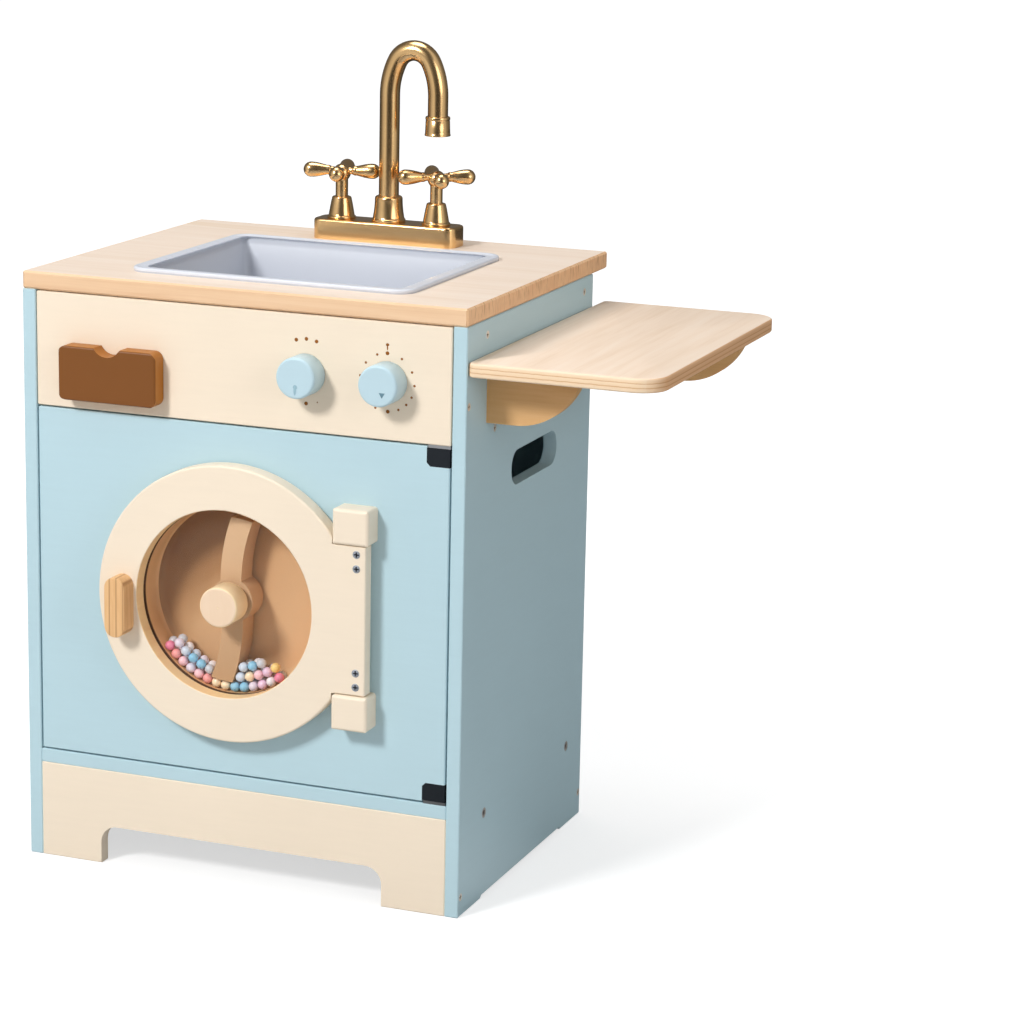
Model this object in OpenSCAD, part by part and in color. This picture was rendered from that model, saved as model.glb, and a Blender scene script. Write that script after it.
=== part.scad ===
// Wooden play washing machine: a cabinet with a sink and tap on top, an ironing board on its side,
// a soap drawer and two dials in the fascia, and a round door with a bead drum in a hinged front.
// The cabinet's own coordinates have x = 0 at its middle, y = 0 at its front and z = 0 on the floor.

/* [Cabinet] */
// Width over the two side panels
cab_w = 400; // [390:1:430]
// Height of the side panels
side_h = 496; // [490:1:520]
// Depth of the side panels
side_d = 296; // [290:1:330]
// Thickness of the side panels, the front boards and the bottom shelf
board_t = 12; // [10:0.5:14]
// Thickness of the back panel and of the divider shelf
thin_t = 9; // [7:0.5:12]
// Flat of the eased edges of the boards
ease = 0.8; // [0.3:0.1:1.2]
// Gap round the front door
reveal = 1.5; // [1.2:0.1:2.2]
// Side of the square cleats and battens
cleat = 18; // [15:1:18]

/* [Plinth] */
// Height of the plinth
plinth_h = 84; // [76:1:90]
// Width of each leg of the plinth
leg_w = 57; // [40:1:80]
// Height of the arch between the legs
arch_h = 34; // [24:1:44]
// Radius of the upper corners of the arch
arch_r = 15; // [6:1:20]
// Height of the relief under the side panels
relief_h = 3; // [2:0.5:5]
// Length of the feet that the relief leaves
foot_l = 50; // [40:1:80]

/* [Carry slots] */
// Length of the slot in each side panel
slot_l = 108; // [96:1:116]
// Height of the slot
slot_h = 30; // [29:0.5:34]
// Corner radius of the slot
slot_r = 14; // [10:0.5:14]
// Middle of the slot behind the front
slot_y = 158; // [150:1:166]
// Middle of the slot below the top of the side panels
slot_drop = 136.5; // [132:0.5:150]

/* [Worktop] */
// Thickness of the worktop
top_t = 15; // [12:0.5:20]
// Flat of the worktop's eased edges
top_ease = 1.6; // [1:0.1:3]
// Reach of the worktop behind the side panels
top_back = 36; // [20:1:44]

/* [Sink] */
// Width over the rim of the sink
sink_w = 255; // [230:1:270]
// Depth, front to back, over the rim
sink_d = 214; // [190:1:222]
// Rim behind the front edge of the worktop
sink_front = 36; // [30:1:40]
// Sink and tap to the right of the cabinet's middle
sink_x = 6.5; // [0:0.5:10]
// Width of the rim
rim_w = 11; // [9:0.5:14]
// Thickness of the rim
rim_t = 4; // [3:0.5:5]
// Corner radius of the rim
rim_r = 16; // [12:1:24]
// Depth of the bowl below the worktop
bowl_depth = 54; // [40:1:56]
// Wall of the bowl
bowl_wall = 2.5; // [2:0.25:3]
// Corner radius of the bowl
bowl_r = 9; // [7:1:12]
// Draft of the bowl from its mouth to its floor
bowl_draft = 3; // [2:0.5:5]
// Gap between the bowl and its cut-out
cut_gap = 1.5; // [1:0.25:2.5]

/* [Tap] */
// Axis of the tap in front of the worktop's back edge
tap_back = 40; // [32:1:44]
// Length of the base block
tap_l = 137; // [128:1:150]
// Depth of the base block
tap_d = 32; // [30:1:34]
// Height of the base block
tap_h = 18; // [14:1:24]
// Corner radius of the base block
tap_r = 9; // [6:0.5:14]
// Rounding of the base block's top edges
tap_edge = 2.5; // [1:0.25:4]
// Distance from the spout to each handle
tap_pitch = 45.7; // [45:0.1:50]
// Diameter of the spout tube
spout_d = 18; // [14:0.5:19]
// Height of the spout's straight tube above the base block
spout_rise = 113; // [100:1:130]
// Half of the gooseneck's reach
neck_half = 23; // [21:0.5:26]
// Rise of the gooseneck's middle line
neck_rise = 39.5; // [34:0.5:50]
// Bend radius at the top of the gooseneck
neck_r = 18; // [14:0.5:18]
// Length of the outlet nozzle
nozzle_l = 17; // [14:0.5:20]
// Diameter of the outlet nozzle at its mouth
nozzle_d = 23; // [22:0.5:26]
// Height of the collar round the spout
collar_h = 23; // [18:1:26]
// Diameter of the collar at its foot
collar_d = 28.8; // [26:0.2:30]
// Height of the bonnets under the handles
bonnet_h = 19.5; // [16:0.5:24]
// Diameter of the bonnets at their foot
bonnet_d = 24; // [20:0.5:26]
// Diameter of the handle stems
stem_d = 11.2; // [8:0.2:12]
// Height of the handle arms above the base block
arm_z = 42.5; // [40:0.5:50]
// Reach of each handle arm to the middle of its ball
arm_l = 28; // [24:0.2:29]
// Diameter of the balls on the arms
ball_d = 13.6; // [10:0.2:14]
// Diameter of the handle hubs
hub_d = 16; // [15:0.5:19]
// Turn of the left handle at rest
turn_left = 14; // [0:1:90]
// Turn of the right handle at rest
turn_right = 31; // [0:1:90]

/* [Fascia] */
// Height of the control panel
fascia_h = 97.5; // [95:0.5:102]
// Diameter of the two dials
dial_d = 34; // [30:0.5:40]
// Length of the dials
dial_l = 22; // [16:0.5:26]
// Chamfer of the dials
dial_chamfer = 1.2; // [0.5:0.1:2.5]
// Diameter of the dial spindles
spindle_d = 8; // [6:0.5:10]
// Gap between the fascia and its neighbours
fascia_gap = 1; // [0.5:0.1:1.5]
// Dials above the lower edge of the fascia
dial_z = 48; // [44:0.5:52]
// Second dial in from the right side
dial_in = 68; // [60:1:76]
// Distance between the two dials
dial_pitch = 72; // [66:1:78]

/* [Soap drawer] */
// Width of the drawer front
soap_w = 90; // [84:1:100]
// Height of the drawer front
soap_h = 46; // [42:1:50]
// Thickness of the drawer front
soap_t = 15; // [12:0.5:18]
// Corner radius of the drawer front
soap_r = 7; // [4:0.5:10]
// Middle of the drawer in from the left side
soap_in = 86; // [78:1:94]
// Middle of the drawer above the lower edge of the fascia
soap_z = 32.5; // [31:0.5:34]
// Rounding of the drawer front's edges
soap_edge = 2; // [1:0.25:3]
// Depth of the finger notch
notch_depth = 7; // [4:0.5:9]
// Width of the finger notch
notch_w = 24; // [18:1:30]
// Width of the tray
tray_w = 74; // [66:1:78]
// Height of the tray
tray_h = 31; // [26:1:33]
// Depth of the tray behind the drawer front
tray_d = 60; // [50:1:80]
// Wall of the tray
tray_wall = 4; // [3:0.5:5]

/* [Round door] */
// Outer radius of the ring
ring_r = 118; // [116:0.5:124]
// Radius of the opening in the ring
bore_r = 80; // [76:0.5:82]
// Thickness of the ring
ring_t = 16; // [14:0.5:18]
// Gap between the ring and the front door
ring_gap = 1.3; // [1.2:0.1:2]
// Middle of the ring to the left of the cabinet's middle
ring_x = 4; // [2:0.5:8]
// Middle of the ring above the floor
ring_z = 249; // [244:0.5:252]
// Middle of the opening to the left of the ring's middle
bore_shift = 2.5; // [0:0.25:3]
// Rounding of the edges of the ring
ring_edge = 2; // [1:0.25:3]
// Height of the hinge ear
ear_h = 126; // [116:1:134]
// Right end of the ear from the ring's middle
ear_reach = 125.5; // [124:0.5:130]
// Hinge axis in from the end of the ear
pin_inset = 8.2; // [7:0.1:8.4]
// Diameter of the hinge pins
pin_d = 5; // [4:0.25:6]
// Length of each hinge pin inside the ear
pin_in_ear = 27; // [24:1:34]
// Length of each hinge pin inside its block
pin_in_block = 20; // [14:1:24]
// Width of the hinge blocks
block_w = 32; // [28:0.5:33]
// Height of the hinge blocks
block_h = 30; // [27:1:34]
// Depth of the hinge blocks
block_t = 20; // [19:0.5:22]
// Rounding of the hinge blocks
block_edge = 3; // [2:0.5:4]
// End play between the ear and each block
end_play = 0.6; // [0.4:0.1:1]
// Width of the wooden pull
pull_w = 17.5; // [14:0.5:20]
// Height of the wooden pull
pull_h = 51; // [44:1:60]
// Depth of the wooden pull
pull_t = 21.5; // [18:0.5:26]
// Rounding of the pull's front edges
pull_edge = 2.5; // [1:0.25:4]

/* [Bead drum] */
// Thickness of the window
window_t = 3; // [2:0.25:4]
// Ledge of the ring that holds the window
ledge_w = 4; // [3:0.5:5]
// Depth inside the drum cup behind the ring
drum_depth = 25; // [22:0.5:27]
// Wall of the drum cup
drum_wall = 6; // [5:0.5:6.5]
// Thickness of the floor of the drum cup
drum_floor = 5; // [4:0.5:6]
// Inner rounding of the drum cup
drum_round = 8; // [5:0.5:9]
// Diameter of the shaft
shaft_d = 10; // [8:0.5:12]
// Diameter of the hub knob
knob_d = 34; // [30:0.5:40]
// Length of the hub knob
knob_l = 22; // [20:0.5:30]
// Width of the arms of the paddle
paddle_w = 19; // [14:0.5:22]
// Depth of the paddle
paddle_t = 21; // [16:0.5:21]
// Radius of the curve of each arm
paddle_curve = 150; // [130:1:190]
// Turn of the paddle at rest
paddle_tilt = 6; // [0:1:8]
// Gap between the paddle and the drum wall, wide enough for a bead
paddle_gap = 9; // [9:0.25:11]
// Diameter of the beads
bead_d = 8.4; // [7:0.1:8.6]

/* [Front door hardware] */
// Width of the pivot clips
clip_w = 20; // [18:0.5:24]
// Height of the pivot clips
clip_h = 15; // [13:0.5:18]
// Thickness of the pivot plates
plate_t = 2.5; // [2:0.25:3]
// Diameter of the pivot pins
pivot_d = 4; // [3:0.25:4.5]
// Length of the pivot pins
pivot_l = 9; // [7:0.5:11]
// Gap between the drum cup and the hole of the front door
swing_gap = 5; // [4.5:0.25:6]

/* [Ironing board] */
// Reach of the board from the side panel
iron_w = 161; // [140:1:175]
// Length of the board, front to back
iron_l = 326; // [300:1:340]
// Thickness of the board
iron_t = 12; // [9:0.5:15]
// Top of the board below the top of the worktop
iron_drop = 43; // [36:1:50]
// Radius of the outer corners
iron_r = 24; // [15:1:40]
// Thickness of the brackets
bracket_t = 12; // [9:0.5:15]
// Drop of the brackets
bracket_drop = 45; // [40:0.5:48]
// Radius of the curve under the brackets
bracket_r = 58; // [52:1:64]
// Length of the front bracket
bracket_front_l = 81.5; // [70:0.5:100]
// Length of the rear bracket
bracket_rear_l = 145; // [130:0.5:155]
// Front bracket behind the cabinet's front
bracket_y = 44; // [40:1:60]

/* [Fits] */
// Radial clearance of a part that turns
run_fit = 0.08; // [0.04:0.01:0.1]
// Radial clearance of a glued or screwed part
glue_fit = 0.03; // [0.01:0.01:0.05]
// Gap between faces that slide or turn past each other
face_gap = 0.4; // [0.3:0.1:0.6]

/* [Hidden] */
$fn = 96;
eps = 0.01;

// Cabinet
inner_x = cab_w / 2 - board_t;
shelf_top = plinth_h + board_t;
fascia_z = side_h - fascia_h;
divider_top = fascia_z + thin_t;
back_y = side_d - thin_t;
top_z = side_h + top_t;
top_d = side_d + top_back;
door_x = inner_x - reveal;
door_z0 = shelf_top + reveal;
door_z1 = fascia_z - reveal;
slot_z = side_h - slot_drop;
iron_z = top_z - iron_drop;

// Screws: head radius, head depth, shank radius and length of the countersunk ones
head_r = 3.4;
head_h = 2.4;
shank_r = 1.6;
side_bite = 11;
side_screw_l = board_t + side_bite;
bolt_head_r = 4.5;
bolt_head_h = 3;
bolt_shank_r = 2.5;
bolt_bite = 28;
bolt_l = board_t + bolt_bite;
bracket_bite = 16;
tap_bite = 10;
pull_bite = 12;
soap_bite = 9;
block_skin = 8;
block_screw_in = 7;
screw_ease = 0.05;
cleat_y0 = 24;
fix_in = 20;
back_gap = 7;
cleat_l = back_y - cleat_y0 - back_gap;
batten_y1 = 56;
batten_y2 = back_y - 31;
rear_fix_y = back_y - 13;
fix_z = side_h - cleat * 0.7;
side_fix = [
  [board_t / 2, fascia_z + fascia_h / 3],
  [cleat_y0 + fix_in, fix_z],
  [rear_fix_y, fix_z],
  [cleat_y0 + 2 * fix_in, fascia_z + thin_t / 2],
  [rear_fix_y, fascia_z + thin_t / 2],
  [board_t / 2, plinth_h / 5],
  [side_d - thin_t / 2, plinth_h / 4]
];
bolt_fix = [
  [batten_y1, plinth_h - cleat / 2],
  [batten_y2, plinth_h - cleat / 2]
];

// Sink
sink_y = sink_front + sink_d / 2;
bowl_w = sink_w - 2 * rim_w;
bowl_d = sink_d - 2 * rim_w;
rim_step = 1.5;

// Tap
tap_y = top_d - tap_back;
tap_top = top_z + tap_h;
spring_z = tap_top + spout_rise;
side_r = (pow(neck_half, 2) + pow(neck_rise - neck_r, 2) - pow(neck_r, 2)) / (2 * (neck_half - neck_r));
side_a = atan2(neck_rise - neck_r, side_r - neck_half);
nozzle_drop = 17;
nozzle_neck_d = spout_d + 2.4;
nozzle_lip = 1.2;
spout_wall = 2;
socket_h = 9;
tap_screw_x = 24;
hub_low = 2;
bell_lip = 3;
collar_floor = 4;
arm_root = 4;
arm_neck_r = ball_d / 4.4;
ball_ease = 0.2;

// Fascia
spindle_grip = 12;
washer_r = 8;
washer_t = 1.6;
dial_gap = 0.5;
dial_x2 = cab_w / 2 - dial_in;
dial_x1 = dial_x2 - dial_pitch;
soap_x = cab_w / 2 - soap_in;
soap_mid_z = fascia_z + soap_z;
soap_gap = 0.3;
tray_gap = 0.6;
cheek_t = 6;
cheek_h = tray_h * 0.7;
soap_screw_z = 6;

// Round door
bore_x = -ring_x - bore_shift;
ring_back = -ring_gap;
ring_front = -ring_gap - ring_t;
window_front = ring_back - window_t - face_gap / 2;
pin_x = -ring_x + ear_reach - pin_inset;
pin_y = -ring_gap - ring_t / 2;
ear_swing_r = ring_t / 2 + ring_gap - 0.5;
block_x1 = -ring_x + ear_reach + 3;
block_swing_r = norm([pin_x - block_x1 + block_w - block_edge, block_t + pin_y - block_edge]) + block_edge;
relief_gap = 0.6;
ear_root = bore_r * 0.6;
bore_edge = 1;
pin_screw_y = [7, 19];
pull_x = -ring_x - 94;
pull_z = ring_z - 9;
pull_screw_z = 14;
magnet_r = 5;
magnet_t = 3;
magnet_x = -ring_x - 99;
magnet_z = ring_z + 38;

// Drum
window_r = bore_r + ledge_w;
cup_r = bore_r + drum_wall;
cup_back = ring_back + drum_depth + drum_floor;
paddle_front = ring_back + 2 * face_gap;
paddle_r = bore_r - paddle_gap;
hole_r = cup_r + swing_gap;
knob_back = window_front - face_gap;
bead_r = bead_d / 2;
bead_step = bead_d + 0.25;
bead_wall_r = bore_r - bead_r - 0.3;
left_beads = 218.5;
right_beads = 275.5;
left_rise = 2.5;
right_rise = 3.5;
bead_lean = 1.5;
row_beads = [14, 5, 3];
knob_face = 9;

// Front door hardware
pivot_x = door_x - 6.1;
pivot_y = 4;
clip_x = door_x - clip_w;
plate_gap = 1;
catch_w = 40;
catch_h = 14;
catch_in = 10;
strike_in = 2;
strike_h = catch_h - 5;
strike_t = 1;

// The overall box, whose bottom centre is the origin
box_x1 = cab_w / 2 + iron_w;
box_mid_x = (box_x1 - cab_w / 2) / 2;
box_mid_y = (top_d + ring_front - pull_t) / 2;

module in_frame() translate([-box_mid_x, -box_mid_y, 0]) children();

// Helpers

module mirrored() {
  children();
  mirror([1, 0, 0]) children();
}

// Extrudes an outline drawn in x and z from y0 towards the back
module along_y(y0, len) translate([0, y0 + len, 0]) rotate([90, 0, 0]) linear_extrude(len) children();

// Extrudes an outline drawn in y and z from x0 to the right
module along_x(x0, len) translate([x0, 0, 0]) rotate([90, 0, 90]) linear_extrude(len) children();

// Revolves a profile about a line towards the back, from y0
module about_y(y0) translate([0, y0, 0]) rotate([-90, 0, 0]) rotate_extrude() children();

module cut_corners(w, h, e)
  polygon([[e, 0], [w - e, 0], [w, e], [w, h - e], [w - e, h], [e, h], [0, h - e], [0, e]]);

// A board with eased edges, from its low corner
module eased(p, v, e = ease) translate(p) intersection() {
  linear_extrude(v.z) cut_corners(v.x, v.y, e);
  along_y(0, v.y) cut_corners(v.x, v.z, e);
  along_x(0, v.x) cut_corners(v.y, v.z, e);
}

module round_rect(w, h, r) {
  square([w - 2 * r, h], center = true);
  square([w, h - 2 * r], center = true);
  for (sx = [-1, 1], sy = [-1, 1])
    translate([sx * (w / 2 - r), sy * (h / 2 - r)]) circle(r);
}

// A rectangle from the axis with its far upper corner rounded
module cup_half(r, h, round) {
  square([r - round, h]);
  square([r, h - round]);
  translate([r - round, h - round]) circle(round);
}

// An upright outline with its two top corners rounded
module round_top(w, h, e) {
  translate([-w / 2, 0]) square([w, h - e]);
  translate([e - w / 2, 0]) square([w - 2 * e, h]);
  for (s = [-1, 1]) translate([s * (w / 2 - e), h - e]) circle(e);
}

// A block with corner radius r and its top edges rounded by e
module soft_block(w, d, h, r, e) intersection() {
  linear_extrude(h) round_rect(w, d, r);
  rotate([90, 0, 0]) linear_extrude(d + 2, center = true) round_top(w, h, e);
  rotate([90, 0, 90]) linear_extrude(w + 2, center = true) round_top(d, h, e);
}

// A countersunk screw that points down from z = 0; grow makes the hole for it
module screw(len, grow = 0) {
  translate([0, 0, -head_h - grow]) cylinder(h = head_h + grow, r1 = shank_r + grow, r2 = head_r + grow);
  if (grow > 0) cylinder(h = 1, r = head_r + grow);
  translate([0, 0, -len - grow]) cylinder(h = len + grow, r = shank_r + grow);
}

// A bolt with a flat head that points down from z = 0
module bolt(len, grow = 0) {
  translate([0, 0, -bolt_head_h - grow]) cylinder(h = bolt_head_h + grow + (grow > 0 ? 1 : 0),
    r = bolt_head_r + grow);
  translate([0, 0, -len - grow]) cylinder(h = len + grow, r = bolt_shank_r + grow);
}

// Every screw and bolt that enters through a side panel
module side_screw_set(grow = 0) mirrored() for (p = side_fix)
  translate([cab_w / 2, p.x, p.y]) rotate([0, 90, 0]) screw(side_screw_l, grow);

module bolt_set(grow = 0) mirrored() for (p = bolt_fix)
  translate([cab_w / 2, p.x, p.y]) rotate([0, 90, 0]) bolt(bolt_l, grow);

// Cabinet

module side_panel() {
  difference() {
    eased([cab_w / 2 - board_t, 0, 0], [board_t, side_d, side_h]);
    translate([0, slot_y, slot_z]) along_x(cab_w / 2 - board_t - 1, board_t + 2)
      round_rect(slot_l, slot_h, slot_r);
    along_x(cab_w / 2 - board_t - 1, board_t + 2) polygon([
      [foot_l, -1], [foot_l, 0], [foot_l + relief_h, relief_h],
      [side_d - foot_l - relief_h, relief_h], [side_d - foot_l, 0], [side_d - foot_l, -1]
    ]);
    side_screw_set(glue_fit);
    bolt_set(glue_fit);
  }
}

module side_panel_left() color("lightblue") mirror([1, 0, 0]) side_panel();

module side_panel_right() color("lightblue") difference() {
  side_panel();
  bracket_screw_set(glue_fit);
}

module back_panel() color("lightblue") difference() {
  eased([-inner_x, back_y, 0], [2 * inner_x, thin_t, side_h]);
  side_screw_set(glue_fit);
}

module bottom_shelf() color("lightblue")
  eased([-inner_x, 0, plinth_h], [2 * inner_x, back_y, board_t]);

module divider_shelf() color("lightblue") difference() {
  eased([-inner_x, board_t, fascia_z], [2 * inner_x, back_y - board_t, thin_t]);
  side_screw_set(glue_fit);
}

module plinth() color("antiquewhite") difference() {
  eased([-inner_x, 0, 0], [2 * inner_x, board_t, plinth_h]);
  along_y(-1, board_t + 2) {
    arch_w = 2 * (inner_x - leg_w);
    translate([-arch_w / 2, -1]) square([arch_w, arch_h - arch_r + 1]);
    translate([0, arch_h - arch_r]) intersection() {
      round_rect(arch_w, 2 * arch_r + eps, arch_r);
      translate([-arch_w / 2, -eps]) square([arch_w, arch_r + 1]);
    }
  }
  side_screw_set(glue_fit);
}

module control_panel() color("antiquewhite") difference() {
  eased([fascia_gap - inner_x, 0, fascia_z], [2 * (inner_x - fascia_gap), board_t, fascia_h - fascia_gap]);
  for (x = [dial_x1, dial_x2]) translate([x, -1, fascia_z + dial_z]) rotate([-90, 0, 0])
    cylinder(h = board_t + 2, r = spindle_d / 2 + run_fit);
  translate([-soap_x - tray_w / 2 - tray_gap, -1, soap_mid_z - tray_h / 2 - tray_gap])
    cube([tray_w + 2 * tray_gap, board_t + 2, tray_h + 2 * tray_gap]);
  side_screw_set(glue_fit);
}

module worktop() color("burlywood") difference() {
  eased([-cab_w / 2, 0, side_h], [cab_w, top_d, top_t], top_ease);
  translate([sink_x, sink_y, side_h - 1]) linear_extrude(top_t + 2) round_rect(
    bowl_w + 2 * (bowl_wall + cut_gap), bowl_d + 2 * (bowl_wall + cut_gap), bowl_r + cut_gap);
  tap_screw_set(glue_fit);
}

module top_cleats() color("wheat") difference() {
  mirrored() eased([inner_x - cleat, cleat_y0, side_h - cleat], [cleat, cleat_l, cleat]);
  side_screw_set(glue_fit);
}

module base_battens() color("wheat") difference() {
  for (y = [batten_y1, batten_y2])
    eased([-inner_x, y - cleat / 2, plinth_h - cleat], [2 * inner_x, cleat, cleat]);
  bolt_set(glue_fit);
}

module side_screws() color("dimgray") side_screw_set();

module frame_bolts() color("dimgray") bolt_set();

// Sink and tap

module bowl(w, d, h, r, up) hull() for (sx = [-1, 1], sy = [-1, 1]) {
  translate([sx * (w / 2 - r), sy * (d / 2 - r), 0]) cylinder(h = up, r = r, $fn = 32);
  translate([sx * (w / 2 - r - bowl_draft), sy * (d / 2 - r - bowl_draft), -h + r]) sphere(r, $fn = 32);
}

module sink_basin() color("lavender") translate([sink_x, sink_y, top_z]) difference() {
  union() {
    linear_extrude(rim_t / 2) round_rect(sink_w, sink_d, rim_r);
    translate([0, 0, rim_t / 2]) linear_extrude(rim_t / 2)
      round_rect(sink_w - 2 * rim_step, sink_d - 2 * rim_step, rim_r - rim_step);
    bowl(bowl_w + 2 * bowl_wall, bowl_d + 2 * bowl_wall, bowl_depth, bowl_r, eps);
  }
  bowl(bowl_w, bowl_d, bowl_depth - bowl_wall, bowl_r - bowl_wall, rim_t + 1);
}

module tap_base() color("goldenrod") difference() {
  translate([sink_x, tap_y, top_z]) soft_block(tap_l, tap_d, tap_h, tap_r, tap_edge);
  tap_screw_set(glue_fit);
}

module tap_screw_set(grow = 0) for (s = [-1, 1])
  translate([sink_x + s * tap_screw_x, tap_y, side_h]) rotate([180, 0, 0]) screw(top_t + tap_bite, grow);

module tap_screws() color("dimgray") tap_screw_set();

// A turned bell with a lip at its foot and at its top
module bell(d, h, top_d, hole_d, hole_h) {
  lip = 0.9;
  foot = 2.2;
  waist_r = top_d / 2 - lip / 2;
  steps = 8;
  flare = [for (i = [0 : steps])
    [waist_r + (d / 2 - lip - waist_r) * cos(90 * i / steps), foot + (h - 2 * foot) * i / steps]];
  difference() {
    rotate_extrude() polygon(concat([[0, 0], [d / 2, 0], [d / 2, foot]], flare,
      [[top_d / 2, h - foot], [top_d / 2, h], [0, h]]));
    translate([0, 0, h - hole_h]) cylinder(h = hole_h + 1, d = hole_d);
  }
}

module tap_bonnets() color("goldenrod") for (s = [-1, 1]) translate([sink_x + s * tap_pitch, tap_y, tap_top])
  bell(bonnet_d, bonnet_h, stem_d + 2 * bell_lip, stem_d + 2 * run_fit, socket_h);

module tap_collar() color("goldenrod") translate([sink_x, tap_y, tap_top])
  bell(collar_d, collar_h, spout_d + 2 * bell_lip, spout_d + 2 * run_fit, collar_h - collar_floor);

// A bend of the gooseneck: a tube round a point in x and z
module bend(x, z, r, start, sweep, d) translate([x, 0, z]) rotate([90, 0, 0]) rotate([0, 0, start])
  rotate_extrude(angle = sweep) translate([r, 0]) circle(d = d);

// The two side bends are a hair thinner than their neighbours and run into them
module tap_spout() color("goldenrod") translate([sink_x, tap_y, 0]) {
  foot_z = tap_top + collar_floor + face_gap;
  ease = 0.1;
  lap = 0.8;
  reach = 2 * neck_half;
  translate([0, 0, foot_z]) cylinder(h = spring_z - foot_z, d = spout_d);
  bend(side_r, spring_z, side_r, 180 - side_a - lap, side_a + 2 * lap, spout_d - ease);
  bend(neck_half, spring_z + neck_rise - neck_r, neck_r, side_a, 180 - 2 * side_a, spout_d);
  bend(reach - side_r, spring_z, side_r, -lap, side_a + 2 * lap, spout_d - ease);
  translate([reach, 0, spring_z - nozzle_drop]) cylinder(h = nozzle_drop, d = spout_d);
}

module tap_nozzle() color("goldenrod")
translate([sink_x + 2 * neck_half, tap_y, spring_z - nozzle_drop - nozzle_l]) difference() {
  throat_r = nozzle_neck_d / 2;
  bead_h = 2;
  bead_out = 0.5;
  rotate_extrude() polygon([
    [0, 0], [nozzle_d / 2, 0], [nozzle_d / 2, nozzle_lip],
    [throat_r, nozzle_l - bead_h - 2 * bead_out], [throat_r + bead_out, nozzle_l - bead_h - bead_out],
    [throat_r + bead_out, nozzle_l - bead_out], [throat_r, nozzle_l], [0, nozzle_l]
  ]);
  translate([0, 0, -1]) cylinder(h = nozzle_l - 2, d = spout_d - 2 * spout_wall);
}

// A stem with a round hub and four drop-shaped arms
module tap_handle(s, turn) translate([sink_x + s * tap_pitch, tap_y, tap_top]) {
  stem_z = bonnet_h - socket_h + face_gap;
  translate([0, 0, stem_z]) cylinder(h = arm_z - hub_low - stem_z, d = stem_d);
  translate([0, 0, arm_z - hub_low]) sphere(d = hub_d);
  for (a = [0 : 90 : 270]) rotate([0, 0, turn + a]) translate([0, 0, arm_z]) {
    rotate([0, 90, 0]) translate([0, 0, hub_d / 2 - arm_root])
      cylinder(h = arm_l - hub_d / 2 + arm_root, r1 = arm_neck_r, r2 = ball_d / 2 - ball_ease);
    translate([arm_l, 0, 0]) sphere(d = ball_d);
  }
}

module tap_handle_left() color("goldenrod") tap_handle(-1, turn_left);

module tap_handle_right() color("goldenrod") tap_handle(1, turn_right);

// Ironing board

module ironing_board() color("burlywood") translate([cab_w / 2, 0, iron_z - iron_t])
linear_extrude(iron_t) {
  inner_r = 6;
  translate([0, inner_r]) square([inner_r, iron_l - 2 * inner_r]);
  for (y = [inner_r, iron_l - inner_r]) translate([inner_r, y]) circle(inner_r);
  translate([inner_r, 0]) square([iron_w - inner_r - iron_r, iron_l]);
  translate([iron_w - iron_r - 1, iron_r]) square([iron_r + 1, iron_l - 2 * iron_r]);
  for (y = [iron_r, iron_l - iron_r]) translate([iron_w - iron_r, y]) circle(iron_r);
}

// A bracket under the board, from the side panel to its curved end
module bracket(y0, len) translate([cab_w / 2, 0, iron_z - iron_t]) along_y(y0, bracket_t) {
  lift = bracket_r - bracket_drop;
  mid = len - sqrt(pow(bracket_r, 2) - pow(lift, 2));
  translate([0, -bracket_drop]) square([mid, bracket_drop]);
  intersection() {
    translate([mid, lift]) circle(bracket_r);
    translate([mid - eps, -bracket_drop]) square([len - mid + 1, bracket_drop]);
  }
}

module bracket_front() color("burlywood") difference() {
  bracket(bracket_y, bracket_front_l);
  bracket_screw_set(glue_fit);
}

module bracket_rear() color("burlywood") difference() {
  bracket(side_d - bracket_t, bracket_rear_l);
  bracket_screw_set(glue_fit);
}

module bracket_screw_set(grow = 0) for (y = [bracket_y, side_d - bracket_t - thin_t], s = [0.25, 0.75])
  translate([inner_x, y + bracket_t / 2, iron_z - iron_t - s * bracket_drop]) rotate([0, -90, 0])
    screw(board_t + bracket_bite, grow);

module bracket_screws() color("dimgray") bracket_screw_set();

// Front door hardware

module pivot_plate(up) {
  z0 = up ? fascia_z - plate_t : shelf_top;
  translate([clip_x + plate_gap, plate_gap / 2, z0])
    cube([inner_x - clip_x - 2 * plate_gap, board_t + plate_gap, plate_t]);
  translate([pivot_x, pivot_y, up ? z0 - pivot_l : z0]) cylinder(h = pivot_l + plate_t, d = pivot_d);
}

module pivot_plate_upper() color("silver") pivot_plate(true);

module pivot_plate_lower() color("silver") pivot_plate(false);

// The outline of a pivot clip, cut back at its inner corner
module clip_outline(up, grow) {
  nick = 3;
  z0 = up ? fascia_z - plate_t - face_gap - clip_h : shelf_top + plate_t + face_gap;
  z1 = z0 + clip_h;
  reach = grow > 0 ? 3 : 0;
  zin = up ? z0 : z1;
  zout = up ? z1 + 2 * reach : z0 - 2 * reach;
  step = up ? nick : -nick;
  polygon([[clip_x, zout], [clip_x, zin + step], [clip_x + nick, zin], [door_x + reach, zin],
    [door_x + reach, zout]]);
}

module pivot_clip(up) difference() {
  along_y(0, board_t) clip_outline(up, 0);
  translate([pivot_x, pivot_y, up ? fascia_z - plate_t - pivot_l - face_gap : shelf_top])
    cylinder(h = pivot_l + plate_t + face_gap, d = pivot_d + 2 * run_fit);
}

module pivot_clip_upper() color("black") pivot_clip(true);

module pivot_clip_lower() color("black") pivot_clip(false);

module catch_housing() color("white")
  translate([-door_x + catch_in, board_t + strike_t + face_gap, fascia_z - catch_h])
    cube([catch_w, catch_h, catch_h]);

module strike_plate() color("silver")
  translate([-door_x + catch_in + strike_in, board_t, fascia_z - catch_h + strike_in])
    cube([catch_w - 2 * strike_in, strike_t, strike_h]);

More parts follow.
